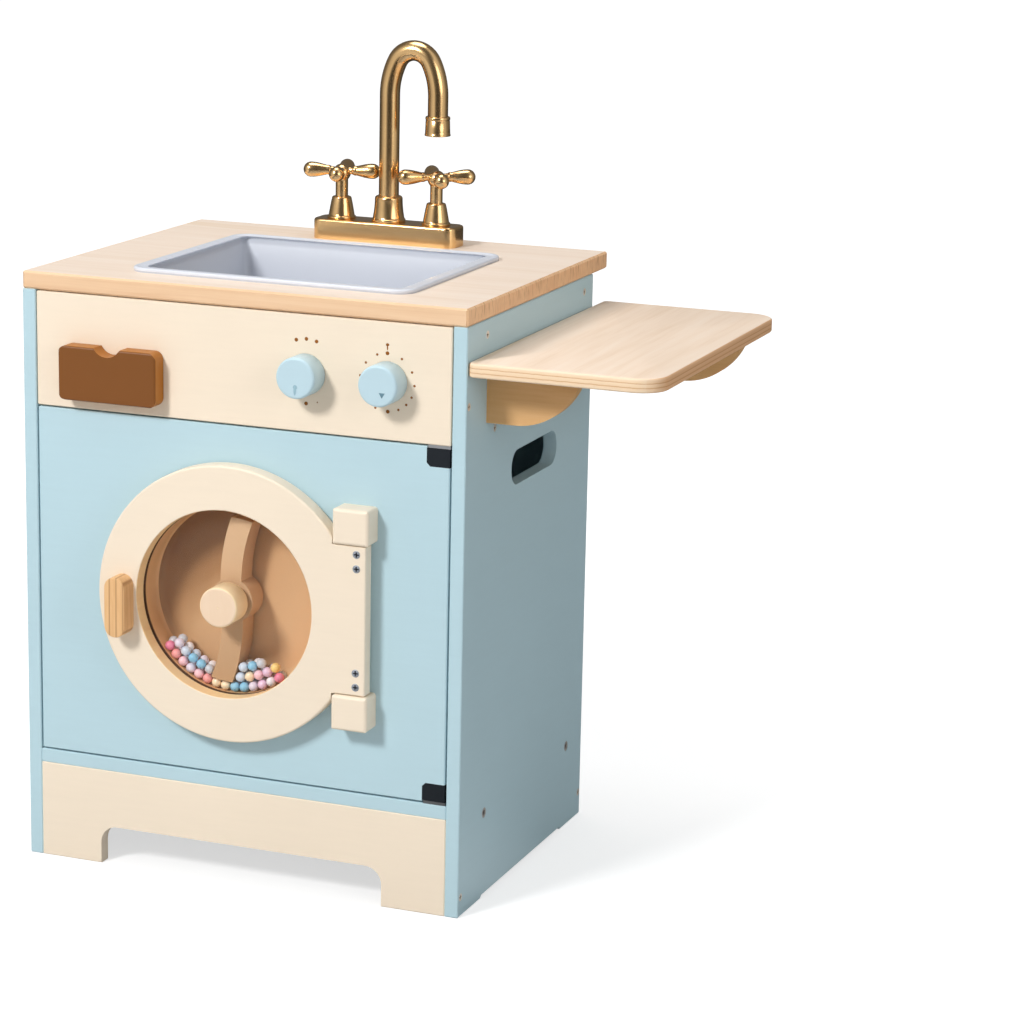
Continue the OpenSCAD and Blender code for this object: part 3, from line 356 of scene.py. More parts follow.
looks = {
    "bluePaint": (paintedWood, dict(paintLook, colour=tint(186, 214, 223))),
    "creamPaint": (paintedWood, creamLook),
    "knobBlue": (paintedWood, dict(paintLook, colour=tint(190, 216, 226), rough=0.36)),
    "ringPaint": (paintedWood, dict(
        creamLook, **drumAxis, bore=0.0803, stops=[(0.3, tint(250, 212, 158)), (0.7, tint(255, 224, 172))])),
    "brownPaint": (paintedWood, dict(
        paintLook, colour=tint(126, 74, 22), side=tint(174, 107, 26), rough=0.4, cloud=30.0)),
    "peachWood": (grainedWood, dict(
        along="z", across=260.0, length=30.0, band=30.0, rings=1.0, rough=0.42, bump=0.05,
        line=tint(240, 210, 176),
        stops=[(0.25, tint(236, 206, 176)), (0.5, tint(239, 211, 182)), (0.75, tint(242, 216, 190))],
        edges=dict(x=peachSidePaintedLight, z=peachSidePaintedLight))),
    "topWood": (grainedWood, dict(
        along="x", across=170.0, length=7.0, band=13.0, rings=3.0, rough=0.36, bump=0.06,
        line=tint(238, 216, 192),
        stops=[(0.3, tint(236, 214, 192)), (0.5, tint(243, 224, 206)), (0.7, tint(247, 232, 217))],
        edges=dict(y=dict(stops=[(0.3, tint(222, 178, 138)), (0.5, tint(235, 198, 160)),
                                 (0.7, tint(243, 210, 176))]),
                   x=dict(stops=[(0.3, tint(238, 188, 142)), (0.7, tint(248, 206, 162))],
                          speck=(260.0, 700.0, 70.0), dark=tint(190, 140, 98))))),
    "boardWood": (grainedWood, dict(
        along="y", across=150.0, length=7.0, band=12.0, rings=3.0, rough=0.38, bump=0.06,
        line=tint(234, 206, 176),
        stops=[(0.3, tint(232, 205, 177)), (0.5, tint(244, 222, 200)), (0.7, tint(248, 231, 213))],
        edges=dict(x=dict(plies=sidePlyStops, base=0.456, thick=0.012),
                   y=dict(plies=plyStops, base=0.456, thick=0.012, start=0.2, span=0.75)))),
    "bracketWood": (grainedWood, dict(
        along="x", across=120.0, length=10.0, band=22.0, rings=3.0, rough=0.45, bump=0.06,
        line=tint(196, 150, 104),
        stops=[(0.3, tint(204, 152, 96)), (0.5, tint(218, 170, 114)), (0.7, tint(228, 184, 132))])),
    "plainWood": (grainedWood, dict(
        along="x", across=150.0, length=10.0, band=14.0, rings=3.0, rough=0.5, bump=0.08,
        line=tint(214, 178, 136),
        stops=[(0.3, tint(218, 184, 144)), (0.5, tint(230, 200, 162)), (0.7, tint(238, 212, 178))])),
    "pullWood": (layeredWood, dict(
        along="z", axis="x", across=300.0, length=26.0, start=shift[0] - 0.1018, thick=0.0062, wander=0.3,
        rough=0.42, bump=0.05, line=tint(186, 138, 92),
        stops=[(0.3, tint(222, 174, 120)), (0.7, tint(238, 194, 142))])),
    # the drum cup's painted shade and light: dark towards the upper left, light towards the lower right
    "drumWood": (paintedShadeWood, dict(
        drumAxis, along="z", across=140.0, length=10.0, cloud=16.0, pull=(0.72, -0.69), reach=0.15,
        rough=0.5, bump=0.04, wall=0.0785, light=tint(232, 184, 132),
        front=shift[1] - 0.0002, line=tint(96, 66, 44),
        stops=[(0.0, tint(142, 99, 61)), (0.27, tint(176, 132, 88)), (0.48, tint(217, 173, 127)),
               (1.0, tint(224, 182, 137))])),
    # painted shade: the paddle darkens towards the bottom, where the hub shades its lower arm
    "paddleWood": (paintedShadeWood, dict(
        along="z", across=160.0, length=9.0, cloud=20.0, x=0.0, z=0.249, pull=(0.0, 1.0), reach=0.15,
        rough=0.46, bump=0.05,
        stops=[(0.1, tint(194, 154, 114)), (0.5, tint(208, 168, 128)), (0.9, tint(220, 182, 142))])),
    "goldMetal": (brushedMetal, dict(
        smear=40.0, fine=700.0, dark=tint(226, 184, 126), light=tint(240, 200, 144), metal=1.0, rough=0.19,
        spread=0.04, bump=0.004)),
    "steel": (brushedMetal, dict(
        smear=60.0, fine=900.0, dark=tint(170, 172, 176), light=tint(206, 208, 212), metal=1.0, rough=0.28,
        spread=0.12, bump=0.06)),
    "screwMetal": (carriedMetal, dict(smear=90.0, metal=0.45, rough=0.3, bump=0.05)),
    # the sink's paler rim is a painted highlight
    "greyPlastic": (mouldedPlastic, dict(
        cloud=8.0, fine=300.0, dark=tint(190, 194, 203), light=tint(195, 199, 208), rough=0.3, coat=0.1,
        bump=0.02, rim=0.5124, pale=tint(214, 218, 227))),  # rim is the height where it turns paler
    "blackPlastic": (mouldedPlastic, dict(
        cloud=30.0, fine=900.0, dark=tint(22, 27, 33), light=tint(28, 34, 41), rough=0.6, coat=0.0,
        bump=0.1)),
    "whitePlastic": (mouldedPlastic, dict(
        cloud=30.0, fine=900.0, dark=tint(226, 226, 224), light=tint(236, 236, 234), rough=0.45, coat=0.0,
        bump=0.08)),
    "printBrown": (mouldedPlastic, dict(printLook, dark=tint(140, 82, 24), light=tint(154, 94, 32))),
    "printGrey": (mouldedPlastic, dict(printLook, dark=tint(96, 130, 144), light=tint(110, 144, 158))),
    "printPale": (mouldedPlastic, dict(printLook, dark=tint(146, 180, 194), light=tint(158, 190, 202))),
    "beadPlastic": (carriedPlastic, dict(cloud=120.0, rough=0.34, coat=0.2, bump=0.05)),
    "clearWindow": (clearPanel, dict(smudge=12.0, colour=(0.8, 0.8, 0.8), rough=0.03, alpha=0.008)),
}
finishes = {name: make(name, look) for name, (make, look) in looks.items()}
nodeFinish = {  # the nodes that wear each finish
    "bluePaint": ["side_panel_left", "side_panel_right", "back_panel", "bottom_shelf", "divider_shelf",
                  "cabinet_door"],
    "creamPaint": ["plinth", "control_panel", "hinge_block_upper", "hinge_block_lower"],
    "ringPaint": ["porthole_ring"],
    "peachWood": ["hub_knob"],
    "pullWood": ["door_pull"],
    "knobBlue": ["program_knob", "timer_knob"],
    "topWood": ["worktop"],
    "boardWood": ["ironing_board"],
    "bracketWood": ["bracket_front", "bracket_rear"],
    "plainWood": ["top_cleats", "base_battens", "soap_housing", "soap_tray", "paddle_shaft",
                  "program_spindle", "timer_spindle"],
    "drumWood": ["drum_cup"],
    "paddleWood": ["drum_paddle"],
    "brownPaint": ["soap_front"],
    "goldMetal": ["tap_base", "tap_bonnets", "tap_collar", "tap_spout", "tap_nozzle", "tap_handle_left",
                  "tap_handle_right"],
    "steel": ["side_screws", "frame_bolts", "tap_screws", "bracket_screws", "soap_screws", "block_screws",
              "pin_screws", "pull_screws", "pivot_plate_upper", "pivot_plate_lower", "hinge_pin_upper",
              "hinge_pin_lower", "strike_plate", "door_magnet", "ring_magnet", "program_washer",
              "timer_washer", "shaft_washer"],
    "greyPlastic": ["sink_basin"],
    "blackPlastic": ["pivot_clip_upper", "pivot_clip_lower"],
    "whitePlastic": ["catch_housing", "beads"],
    "clearWindow": ["porthole_window"],
}
for finishName, members in nodeFinish.items():
    for member in members:
        slots = nodes[member].material_slots
        for holder in slots:
            holder.link = "OBJECT"
            holder.material = finishes[finishName]
        if not slots:
            nodes[member].data.materials.append(finishes[finishName])
print("finishes on nodes:", sum(len(members) for members in nodeFinish.values()))


# Shapes worked out on grids. Positions are in millimetres from the cabinet's middle front on the floor.
def cornerTurns(steps):
    # angles round four quarter circles, each with its own first and last point
    return (np.arange(4)[:, None] * math.pi / 2 + np.linspace(0, math.pi / 2, steps)[None, :]).ravel()


def loop(halfWidth, halfDepth, radius, steps=10):
    # rounded rectangles, one row for each entry: corner centre plus radius times (cos, sin) of the turn
    turn = cornerTurns(steps)
    signX = np.repeat((1, -1, -1, 1), steps)
    signY = np.repeat((1, 1, -1, -1), steps)
    halfWidth, halfDepth, radius = (np.asarray(v, float)[:, None] for v in (halfWidth, halfDepth, radius))
    x = signX * (halfWidth - radius) + radius * np.cos(turn)
    y = signY * (halfDepth - radius) + radius * np.sin(turn)
    return x, y


def arc(centreR, centreH, radius, first, last, steps=6):
    # points (r, h) of an arc: centre plus radius times (cos, sin) of angles in degrees
    turn = np.radians(np.linspace(first, last, steps))
    return np.stack((centreR + radius * np.cos(turn), centreH + radius * np.sin(turn)), -1)


def closedGrid(x, y, heights, middle=(0, 0)):
    # rows of x and y at their heights, with the first and the last row drawn together at the middle
    grid = np.stack((x, y, np.repeat(heights[:, None], x.shape[1], 1)), -1)
    first, last = grid[:1].copy(), grid[-1:].copy()
    first[..., :2] = middle
    last[..., :2] = middle
    return np.concatenate((first, grid, last))


def bandFaces(rows, columns, start=0):
    # quads between neighbouring rows of a grid whose last column meets its first
    row, column = np.meshgrid(np.arange(rows - 1), np.arange(columns), indexing="ij")
    near = row * columns + column
    far = row * columns + (column + 1) % columns
    return (np.stack((near, far, far + columns, near + columns), -1) + start).reshape(-1, 4)


def turned(profile, columns=96):
    # a profile of (r, h) turned about the h axis: (r cos t, r sin t, h)
    turn = np.arange(columns) * 2 * math.pi / columns
    radius, height = profile[:, 0:1], profile[:, 1:2]
    return np.stack((radius * np.cos(turn), radius * np.sin(turn), height + 0 * turn), -1)


def aimed(grid, spot, up):
    # a grid whose third axis is laid along up, and whose origin is put at spot
    up = np.asarray(up, float) / np.linalg.norm(up)
    side = np.cross((0, 0, 1) if abs(up[2]) < 0.9 else (0, 1, 0), up)
    side = side / np.linalg.norm(side)
    return grid @ np.array((side, np.cross(up, side), up)) + np.asarray(spot, float)


def roundedBlock(shape):
    # rounded rectangles up the sides of a block and over its far edge, both ends drawn to the middle
    edge = shape["edge"]
    rows = np.concatenate(([(edge, 0)], arc(0, shape["height"] - edge, edge, 0, 90, 7)))
    inset = edge - rows[:, 0]
    x, y = loop(shape["width"] / 2 - inset, shape["depth"] / 2 - inset, shape["corner"] - inset, 12)
    return closedGrid(x, y, rows[:, 1])


def makePiece(name, body, grids, finish, replaced=(), tones=None, edge=None):
    # one mesh from closed grids of (rows, columns, 3); tones holds a colour for each grid's points
    points, faces, colours, start = [], [], [], 0
    for index, grid in enumerate(grids):
        rows, columns = grid.shape[:2]
        points.append(grid.reshape(-1, 3))
        faces.append(bandFaces(rows, columns, start))
        if tones is not None:
            colours.append(np.broadcast_to(tones[index], (rows, columns, 3)).reshape(-1, 3))
        start += rows * columns
    mesh = bpy.data.meshes.new(name)
    mesh.from_pydata((np.concatenate(points) * mm + np.array(shift)).tolist(), [],
                     np.concatenate(faces).tolist())
    if tones is not None:
        layer = mesh.color_attributes.new("tone", "FLOAT_COLOR", "POINT")
        flat = np.concatenate(colours)
        layer.data.foreach_set("color", np.concatenate((flat, np.ones((len(flat), 1))), 1).ravel())
    shell = bmesh.new()
    shell.from_mesh(mesh)
    bmesh.ops.remove_doubles(shell, verts=shell.verts, dist=2e-6)
    bmesh.ops.dissolve_degenerate(shell, edges=shell.edges, dist=1e-7)
    bmesh.ops.recalc_face_normals(shell, faces=shell.faces)
    shell.to_mesh(mesh)
    shell.free()
    mesh.polygons.foreach_set("use_smooth", [True] * len(mesh.polygons))
    mesh.materials.append(finishes[finish])
    piece = bpy.data.objects.new(name, mesh)
    bpy.context.scene.collection.objects.link(piece)
    if edge:
        mesh.set_sharp_from_angle(angle=math.radians(edge))
    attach(piece, body)
    if replaced:
        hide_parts(*replaced)
    return piece


sink = dict(middle=(6.5, 143.0), base=511.0, width=255.0, depth=214.0, corner=16.0, lift=4.0, rim=11.0,
            wall=2.5, bowl=54.0, bowlCorner=9.0, draft=3.0, roll=1.8, under=0.3, point=0.05,
            chamfer=(0.4, 0.2), lip=2.6, lipDrop=0.8, lipCorner=0.5,
            crease=[(3.6, 0.05, 3), (4.6, 0.75, 4), (6.0, 0.85, 5)])  # inset, drop and corner lost


def buildSink():
    # a closed shell: rounded rectangles whose inset, height and corner follow a profile under the bowl,
    # round the rim, over a shallow crease and down the inside
    outer, inner = sink["bowlCorner"], sink["bowlCorner"] - sink["wall"]
    lift, corner, rim, roll, point = (sink[key] for key in ("lift", "corner", "rim", "roll", "point"))
    wallIn, floor = rim - sink["wall"], sink["wall"] - sink["bowl"]
    rows = []  # inset from the outer edge of the rim, height, corner radius
    for r, h in arc(0, 0, outer, -90, 0, 7):
        rows.append((wallIn + sink["draft"] + outer - r, -sink["bowl"] + outer + h, max(r, point)))
    rows.append((wallIn, -sink["chamfer"][1], outer))
    rows.append((wallIn - sink["chamfer"][0], 0.0, outer))
    rows.append((sink["under"], 0.0, corner))
    for r, h in arc(0, 0, roll, 0, 90, 6):
        rows.append((roll - r, lift - roll + h, corner + r - roll))
    for inset, drop, lost in sink["crease"]:
        rows.append((inset, lift - drop, corner - lost))
    for r, h in arc(0, 0, sink["lip"], 90, 180, 6):
        rows.append((rim + r, lift - sink["lipDrop"] - sink["lip"] + h, inner + sink["lipCorner"]))
    rows.append((rim + sink["under"], -lift, inner))
    for r, h in arc(0, 0, inner, 180, 270, 7):
        rows.append((rim + sink["draft"] + inner + r, floor + inner + h, max(-r, point)))
    rows = np.array(rows)
    x, y = loop(sink["width"] / 2 - rows[:, 0], sink["depth"] / 2 - rows[:, 0], rows[:, 2])
    grid = closedGrid(x, y, rows[:, 1]) + np.array((*sink["middle"], sink["base"]))
    makePiece("sinkShell", "cabinet", [grid], "greyPlastic", ["sink_basin"], edge=50)


backTones = ("grey", "pearl", "mist", "lilac", "pearl", "blush", "mist")
drum = dict(x=-6.5, z=249.0, back=-1.3, window=3.2, bead=8.4, step=8.65, wallRow=75.5, gap=0.4, lean=1.5,
            left=218.5, right=275.5)
beadTones = dict(
    pearl=(242, 236, 240), rose=(238, 108, 150), coral=(248, 152, 148), blush=(250, 190, 200),
    lilac=(226, 214, 232), cream=(250, 222, 178), sky=(112, 190, 226), mist=(200, 214, 232),
    orchid=(232, 190, 220), grey=(196, 198, 206), lemon=(250, 208, 100))
beadRows = [  # row from the wall, side of the paddle, degrees from its first bead, colours of the front layer
    (0, "left", 0.0, "rose coral blush lilac blush coral cream cream sky sky lilac orchid pearl rose"),
    (1, "left", 2.5, "lilac mist sky sky grey"),
    (1, "right", 0.0, "mist cream blush orchid lemon"),
    (2, "right", 3.5, "mist sky grey"),
]


def buildBeads():
    # spheres in rows round the drum: centre (row radius cos a, layer depth, row radius sin a)
    grids, tones = [], []
    tall = np.radians(np.linspace(0, 180, 13))
    ball = turned(np.stack((np.sin(tall), -np.cos(tall)), -1), 22) * (drum["bead"] / 2)
    for row, side, offset, names in beadRows:
        names = names.split()
        radius = drum["wallRow"] - row * drum["step"]
        step = 2 * math.degrees(math.asin(drum["step"] / 2 / radius))
        for layer in (0, 1):
            count = len(names) - (layer if side == "right" else 0)
            lean = drum["lean"] * layer * (1 if side == "right" else -1)
            for index in range(count):
                turn = math.radians(drum[side] + offset + lean + index * step)
                spot = (drum["x"] + radius * math.cos(turn),
                        drum["back"] + drum["gap"] + drum["bead"] / 2 + layer * drum["step"],
                        drum["z"] + radius * math.sin(turn))
                shades = backTones if layer else names
                colour = beadTones[shades[index % len(shades)]]
                grids.append(aimed(ball, spot, (math.cos(index), math.sin(index * 2), 0.7)))
                tones.append(np.array(tint(*colour)))
    makePiece("beadPile", "porthole_door", grids, "beadPlastic", ["beads"], tones)


# tone is the head's colour; the recess colour is painted shade
screwKinds = dict(
    pin=dict(head=3.4, dome=0.5, cone=2.4, shank=1.6, length=5.3, recess=1.5, arm=0.5, reach=2.1,
             tone=(176, 182, 192), paintedRecessShade=(26, 28, 34)),
    side=dict(head=3.4, dome=0.0, cone=2.4, shank=1.6, length=23.0, recess=1.3, arm=0.5, reach=1.9,
              tone=(255, 246, 232), paintedRecessShade=(70, 52, 42)),
    bolt=dict(head=4.5, dome=0.0, cone=3.0, shank=2.5, length=40.0, recess=2.2, arm=0.0, reach=2.3,
              tone=(206, 200, 194), paintedRecessShade=(36, 36, 40)),
)


screwForm = dict(inset=0.15, below=0.05, edge=0.25, softSide=0.3, softEnd=0.5)


def screwGrid(kind, rings=16, columns=72):
    # rings of the head, lowered by a cross or six-sided recess with soft walls, then cone, shank and tip
    softSide, softEnd = screwForm["softSide"], screwForm["softEnd"]
    ring, turn = np.meshgrid(np.linspace(0, 1, rings), np.arange(columns) * 2 * math.pi / columns,
                             indexing="ij")
    radius = ring * (kind["head"] - screwForm["inset"])
    x, y = np.abs(radius * np.cos(turn)), np.abs(radius * np.sin(turn))
    if kind["arm"]:
        cross = np.clip((kind["arm"] - np.minimum(x, y)) / softSide + 0.5, 0, 1)
        mask = cross * np.clip((kind["reach"] - np.maximum(x, y)) / softEnd + 0.5, 0, 1)
    else:
        flat = np.maximum.reduce([np.abs(radius * np.cos(turn - k * math.pi / 3)) for k in range(3)])
        mask = np.clip((kind["reach"] - flat) / softSide + 0.5, 0, 1)
    height = kind["dome"] * (1 - ring ** 2) - kind["recess"] * mask - screwForm["below"]
    top = np.stack((radius * np.cos(turn), radius * np.sin(turn), height), -1)
    head, shank, cone, length = kind["head"], kind["shank"], kind["cone"], kind["length"]
    body = turned(np.array([(head, -screwForm["edge"]), (shank if kind["arm"] else head, -cone),
                            (shank, -cone - 0.01), (shank, -length), (0.0, -length)]), columns)
    # painted shade: the cross or six-sided recess takes the dark recess tone
    share = np.concatenate((mask, np.zeros((len(body), columns))))[..., None]
    tones = np.array(tint(*kind["tone"])) * (1 - share) + np.array(tint(*kind["paintedRecessShade"])) * share
    return np.concatenate((top, body)), tones


screwPlaces = dict(
    pin=[((113.3, -17.3, 249 + side * (63 - drop)), (0, -1, 0)) for side in (-1, 1) for drop in (7, 19)],
    side=[((side * 200, y, z), (side, 0, 0)) for side in (-1, 1) for y, z in (
        (6, 431.0), (44, 483.4), (274, 483.4), (64, 403.0), (274, 403.0), (6, 16.8), (291.5, 21.0))],
    bolt=[((side * 200, y, 75.0), (side, 0, 0)) for side in (-1, 1) for y in (56, 256)],
)


def buildScrews():
    for name, body, kind, slot, node in (
            ("pinScrewHeads", "porthole_door", "pin", "dark_steel", "pin_screws"),
            ("sideScrewHeads", "cabinet", "side", "steel", "side_screws"),
            ("frameBoltHeads", "cabinet", "bolt", "steel", "frame_bolts")):
        grid, tones = screwGrid(screwKinds[kind])
        grids = [aimed(grid, spot, up) for spot, up in screwPlaces[kind]]
        makePiece(name, body, grids, "screwMetal", [node], [tones] * len(grids), edge=40)


knobs = dict(
    dial=dict(radius=17.0, length=22.0, edge=2.2, flat=1.5, back=0.4, bore=4.03, grip=12.0, dimple=0, z=446.5,
              gap=0.5),
    hub=dict(radius=17.0, length=22.0, edge=2.0, flat=1.5, back=0.4, bore=5.03, grip=13.4, dimple=0.7),
)


def knobProfile(knob):
    # (r, h) from the middle of the front, h = 0, round the edge to the back at h = length, and up the bore
    radius, length, edge, bore, dimple = (knob[key] for key in ("radius", "length", "edge", "bore", "dimple"))
    middle = [(0, dimple * 0.6), (dimple * 0.8, 0.2), (dimple, 0), (dimple + 0.4, 0)] if dimple else [(0, 0)]
    rim = arc(radius - edge, edge, edge, -90, 0, 8)
    end, back = length - knob["grip"], knob["back"]
    return np.concatenate((middle, [(radius - edge - knob["flat"], 0)], rim, [
        (radius, length - back), (radius - back, length), (bore, length), (bore, end), (0, end)]))


def buildKnobs():
    dial, hub = knobs["dial"], knobs["hub"]
    for name, body, node, x in (("programDial", "program_dial", "program_knob", 60.0),
                                ("timerDial", "timer_dial", "timer_knob", 132.0)):
        grid = aimed(turned(knobProfile(dial)), (x, -dial["gap"] - dial["length"], dial["z"]), (0, 1, 0))
        makePiece(name, body, [grid], "knobBlue", [node], edge=45)
    front = drum["back"] - drum["window"] - drum["gap"] - hub["length"]
    grid = aimed(turned(knobProfile(hub)), (drum["x"], front, drum["z"]), (0, 1, 0))
    makePiece("hubKnob", "paddle", [grid], "peachWood", ["hub_knob"], edge=45)


marks = dict(rise=0.12, foot=-0.05, ring=23.8, small=1.05, large=1.6, middle=(131.2, 445.9),
             first=(60.0, 446.5),
             turns=(0, 32, 65, 92, 116, 135, 155, 178, 205, 232, 258, 279, 308, 338), big=(0, 178),
             stroke=(4.6, 0.55), tip=(7.0, 1.5), low=(-0.6, 1.6),  # height over the ring and radius
             side=(10.0, 1.2, 0.63),  # place beside and over the ring's foot, and radius
             row=(9.0, 5.0, 1.4, 1.6),  # pitch, height over the ring, droop at the ends and radius
             spot=(60.4, 439.5, 1.9), tail=(60.2, 436.9, 1.7), arrow=(136.2, 440.1, 3.1))  # x, z and radius


def dot(x, z, radius, front=0.0, squeeze=(1.0, 1.0), columns=24):
    # a flat disc, or with three columns a triangle, a hair proud of the face:
    # (radius cos t, radius sin t) in x and z, squeezed and moved to its place
    rise, foot = marks["rise"], marks["foot"]
    profile = np.array([(0, rise), (radius * 0.9, rise), (radius, 0.02), (radius, foot), (0, foot)])
    grid = turned(profile, columns)
    points = np.stack((grid[..., 1] * squeeze[0], -grid[..., 2], -grid[..., 0] * squeeze[1]), -1)
    return points + np.array((x, front, z))


def buildMarks():
    x, z = marks["middle"]
    ring = marks["ring"]
    grids = [dot(x + ring * math.sin(math.radians(turn)), z + ring * math.cos(math.radians(turn)),
                 marks["large"] if turn in marks["big"] else marks["small"]) for turn in marks["turns"]]
    grids.append(dot(x, z + ring + marks["stroke"][0], marks["stroke"][1], squeeze=(1.0, 4.0)))
    grids.append(dot(x, z + ring + marks["tip"][0], marks["tip"][1], squeeze=(1.0, 0.8)))
    x, z = marks["first"]
    grids.append(dot(x, z - ring + marks["low"][0], marks["low"][1]))
    grids.append(dot(x + marks["side"][0], z - ring + marks["side"][1], marks["side"][2]))
    pitch, lift, droop, radius = marks["row"]
    grids += [dot(x + step * pitch, z + ring + lift - abs(step) * droop, radius) for step in (-1, 0, 1)]
    makePiece("dialMarks", "cabinet", grids, "printBrown", edge=40)
    front = -knobs["dial"]["gap"] - knobs["dial"]["length"]
    pointer = [dot(*marks["spot"], front), dot(*marks["tail"], front - 0.04, (0.7, 2.4))]
    makePiece("programPointer", "program_dial", pointer, "printPale", edge=40)
    makePiece("timerPointer", "timer_dial", [dot(*marks["arrow"], front, (1.0, 0.95), 3)], "printGrey",
              edge=40)


pull = dict(middle=(-98.6, 240.0), back=-17.3, width=18.8, depth=51.5, height=17.0, corner=9.3, edge=0.9)


def buildPull():
    # the block stands off the ring: its third axis points to the front
    grid = roundedBlock(pull)
    points = np.stack((grid[..., 0] + pull["middle"][0], pull["back"] - grid[..., 2],
                       grid[..., 1] + pull["middle"][1]), -1)
    makePiece("ringPull", "porthole_door", [points], "pullWood", ["door_pull"], edge=50)


def makeBrass(name, body, grids, node):
    makePiece(name, body, grids, "goldMetal", [node], edge=50)


tap = dict(x=6.5, y=292.0, top=529.0, pitch=45.7, stem=5.6, foot=10.9, armZ=42.5, start=4.0, reach=28.0,
           ball=6.8, neck=3.0, beadAt=11.5, beadHalf=0.9, beadRise=0.7, hub=8.0, hubLow=2.0, hubFoot=0.85)
tapFoot = np.array((tap["x"], tap["y"], tap["top"]))


def buildTapHandles():
    # hub and stem turned about the upright axis, and four drops turned about the arms; the drop's radius
    # grows by half a cosine from the neck to the ball, which a circle closes, with a thin bead round the neck
    low, hub, neck, start = tap["armZ"] - tap["hubLow"], tap["hub"], tap["neck"], tap["start"]
    stem = np.concatenate(([(0, tap["foot"]), (tap["stem"], tap["foot"]),
                            (tap["stem"], low - hub * tap["hubFoot"])], arc(0, low, hub, -46, 90, 22)))
    share = np.linspace(0, 1, 22)
    out = start + (tap["reach"] - start) * share
    thick = neck + (tap["ball"] - neck) * (1 - np.cos(math.pi * share)) / 2
    thick += tap["beadRise"] * np.exp(-((out - tap["beadAt"]) / tap["beadHalf"]) ** 2)
    drop = np.concatenate(([(0, start)], np.stack((thick, out), -1),
                           arc(0, tap["reach"], tap["ball"], 0, 90, 12)[1:]))
    for side, name, body, node, turn in ((-1, "tapHandleLeft", "left_tap", "tap_handle_left", 14.0),
                                         (1, "tapHandleRight", "right_tap", "tap_handle_right", 31.0)):
        spot = tapFoot + np.array((side * tap["pitch"], 0, 0))
        grids = [turned(stem, 64) + spot]
        for quarter in range(4):
            angle = math.radians(turn + 90 * quarter)
            grids.append(aimed(turned(drop, 40), spot + np.array((0, 0, tap["armZ"])),
                               (math.cos(angle), math.sin(angle), 0)))
        makeBrass(name, body, grids, node)


bellFoot = dict(chamfer=0.3, round=0.9, groove=0.25)
bonnet = dict(bellFoot, foot=12.8, ring=2.4, skirt=11.7, neck=8.8, flare=0.9, shoulder=1.7, height=19.5,
              bore=5.68, socket=9.0)
collar = dict(bellFoot, foot=15.2, ring=2.8, skirt=14.2, neck=12.4, flare=2.0, shoulder=2.4, height=23.0,
              bore=9.08, socket=19.0)
block = dict(width=137.0, depth=32.0, height=18.0, corner=9.0, edge=2.2)


def bellProfile(shape):
    # (r, h): a rounded foot ring, a skirt that narrows by a power of the height, and a rounded shoulder
    foot, height, ring, curve = shape["foot"], shape["height"], shape["ring"], shape["shoulder"]
    skirt, neck, bore, floor = shape["skirt"], shape["neck"], shape["bore"], height - shape["socket"]
    chamfer, bend = shape["chamfer"], shape["round"]
    rise = np.linspace(0, 1, 14)
    low, high = ring + shape["groove"], height - curve
    swell = np.stack((neck + (skirt - neck) * (1 - rise) ** shape["flare"], low + (high - low) * rise), -1)
    return np.concatenate(([(0, 0), (foot - chamfer, 0), (foot, chamfer)],
                           arc(foot - bend, ring - bend, bend, 0, 80, 5), swell,
                           arc(neck - curve, height - curve, curve, 8, 90, 7),
                           [(bore, height), (bore, floor), (0, floor)]))


def buildTapFeet():
    grids = [turned(bellProfile(bonnet), 72) + tapFoot + np.array((side * tap["pitch"], 0, 0))
             for side in (-1, 1)]
    makeBrass("tapBonnets", "cabinet", grids, "tap_bonnets")
    makeBrass("tapCollar", "cabinet", [turned(bellProfile(collar), 80) + tapFoot], "tap_collar")
    makeBrass("tapBlock", "cabinet", [roundedBlock(block) + tapFoot - np.array((0, 0, block["height"]))],
              "tap_base")


spout = dict(radius=9.0, foot=533.5, spring=642.0, half=23.0, rise=39.5, crown=18.0, drop=17.0,
             mouth=[(0, 15), (7, 15), (7, 0), (11.1, 0), (11.4, 0.15), (11.5, 0.5), (11.5, 1.3), (11.25, 1.7),
                    (11.1, 4), (10.8, 13.3), (10.5, 13.7), (10.55, 14.1), (10.95, 14.4), (11, 14.8),
                    (11, 16.2), (10.85, 16.7), (10.4, 17), (0, 17)])


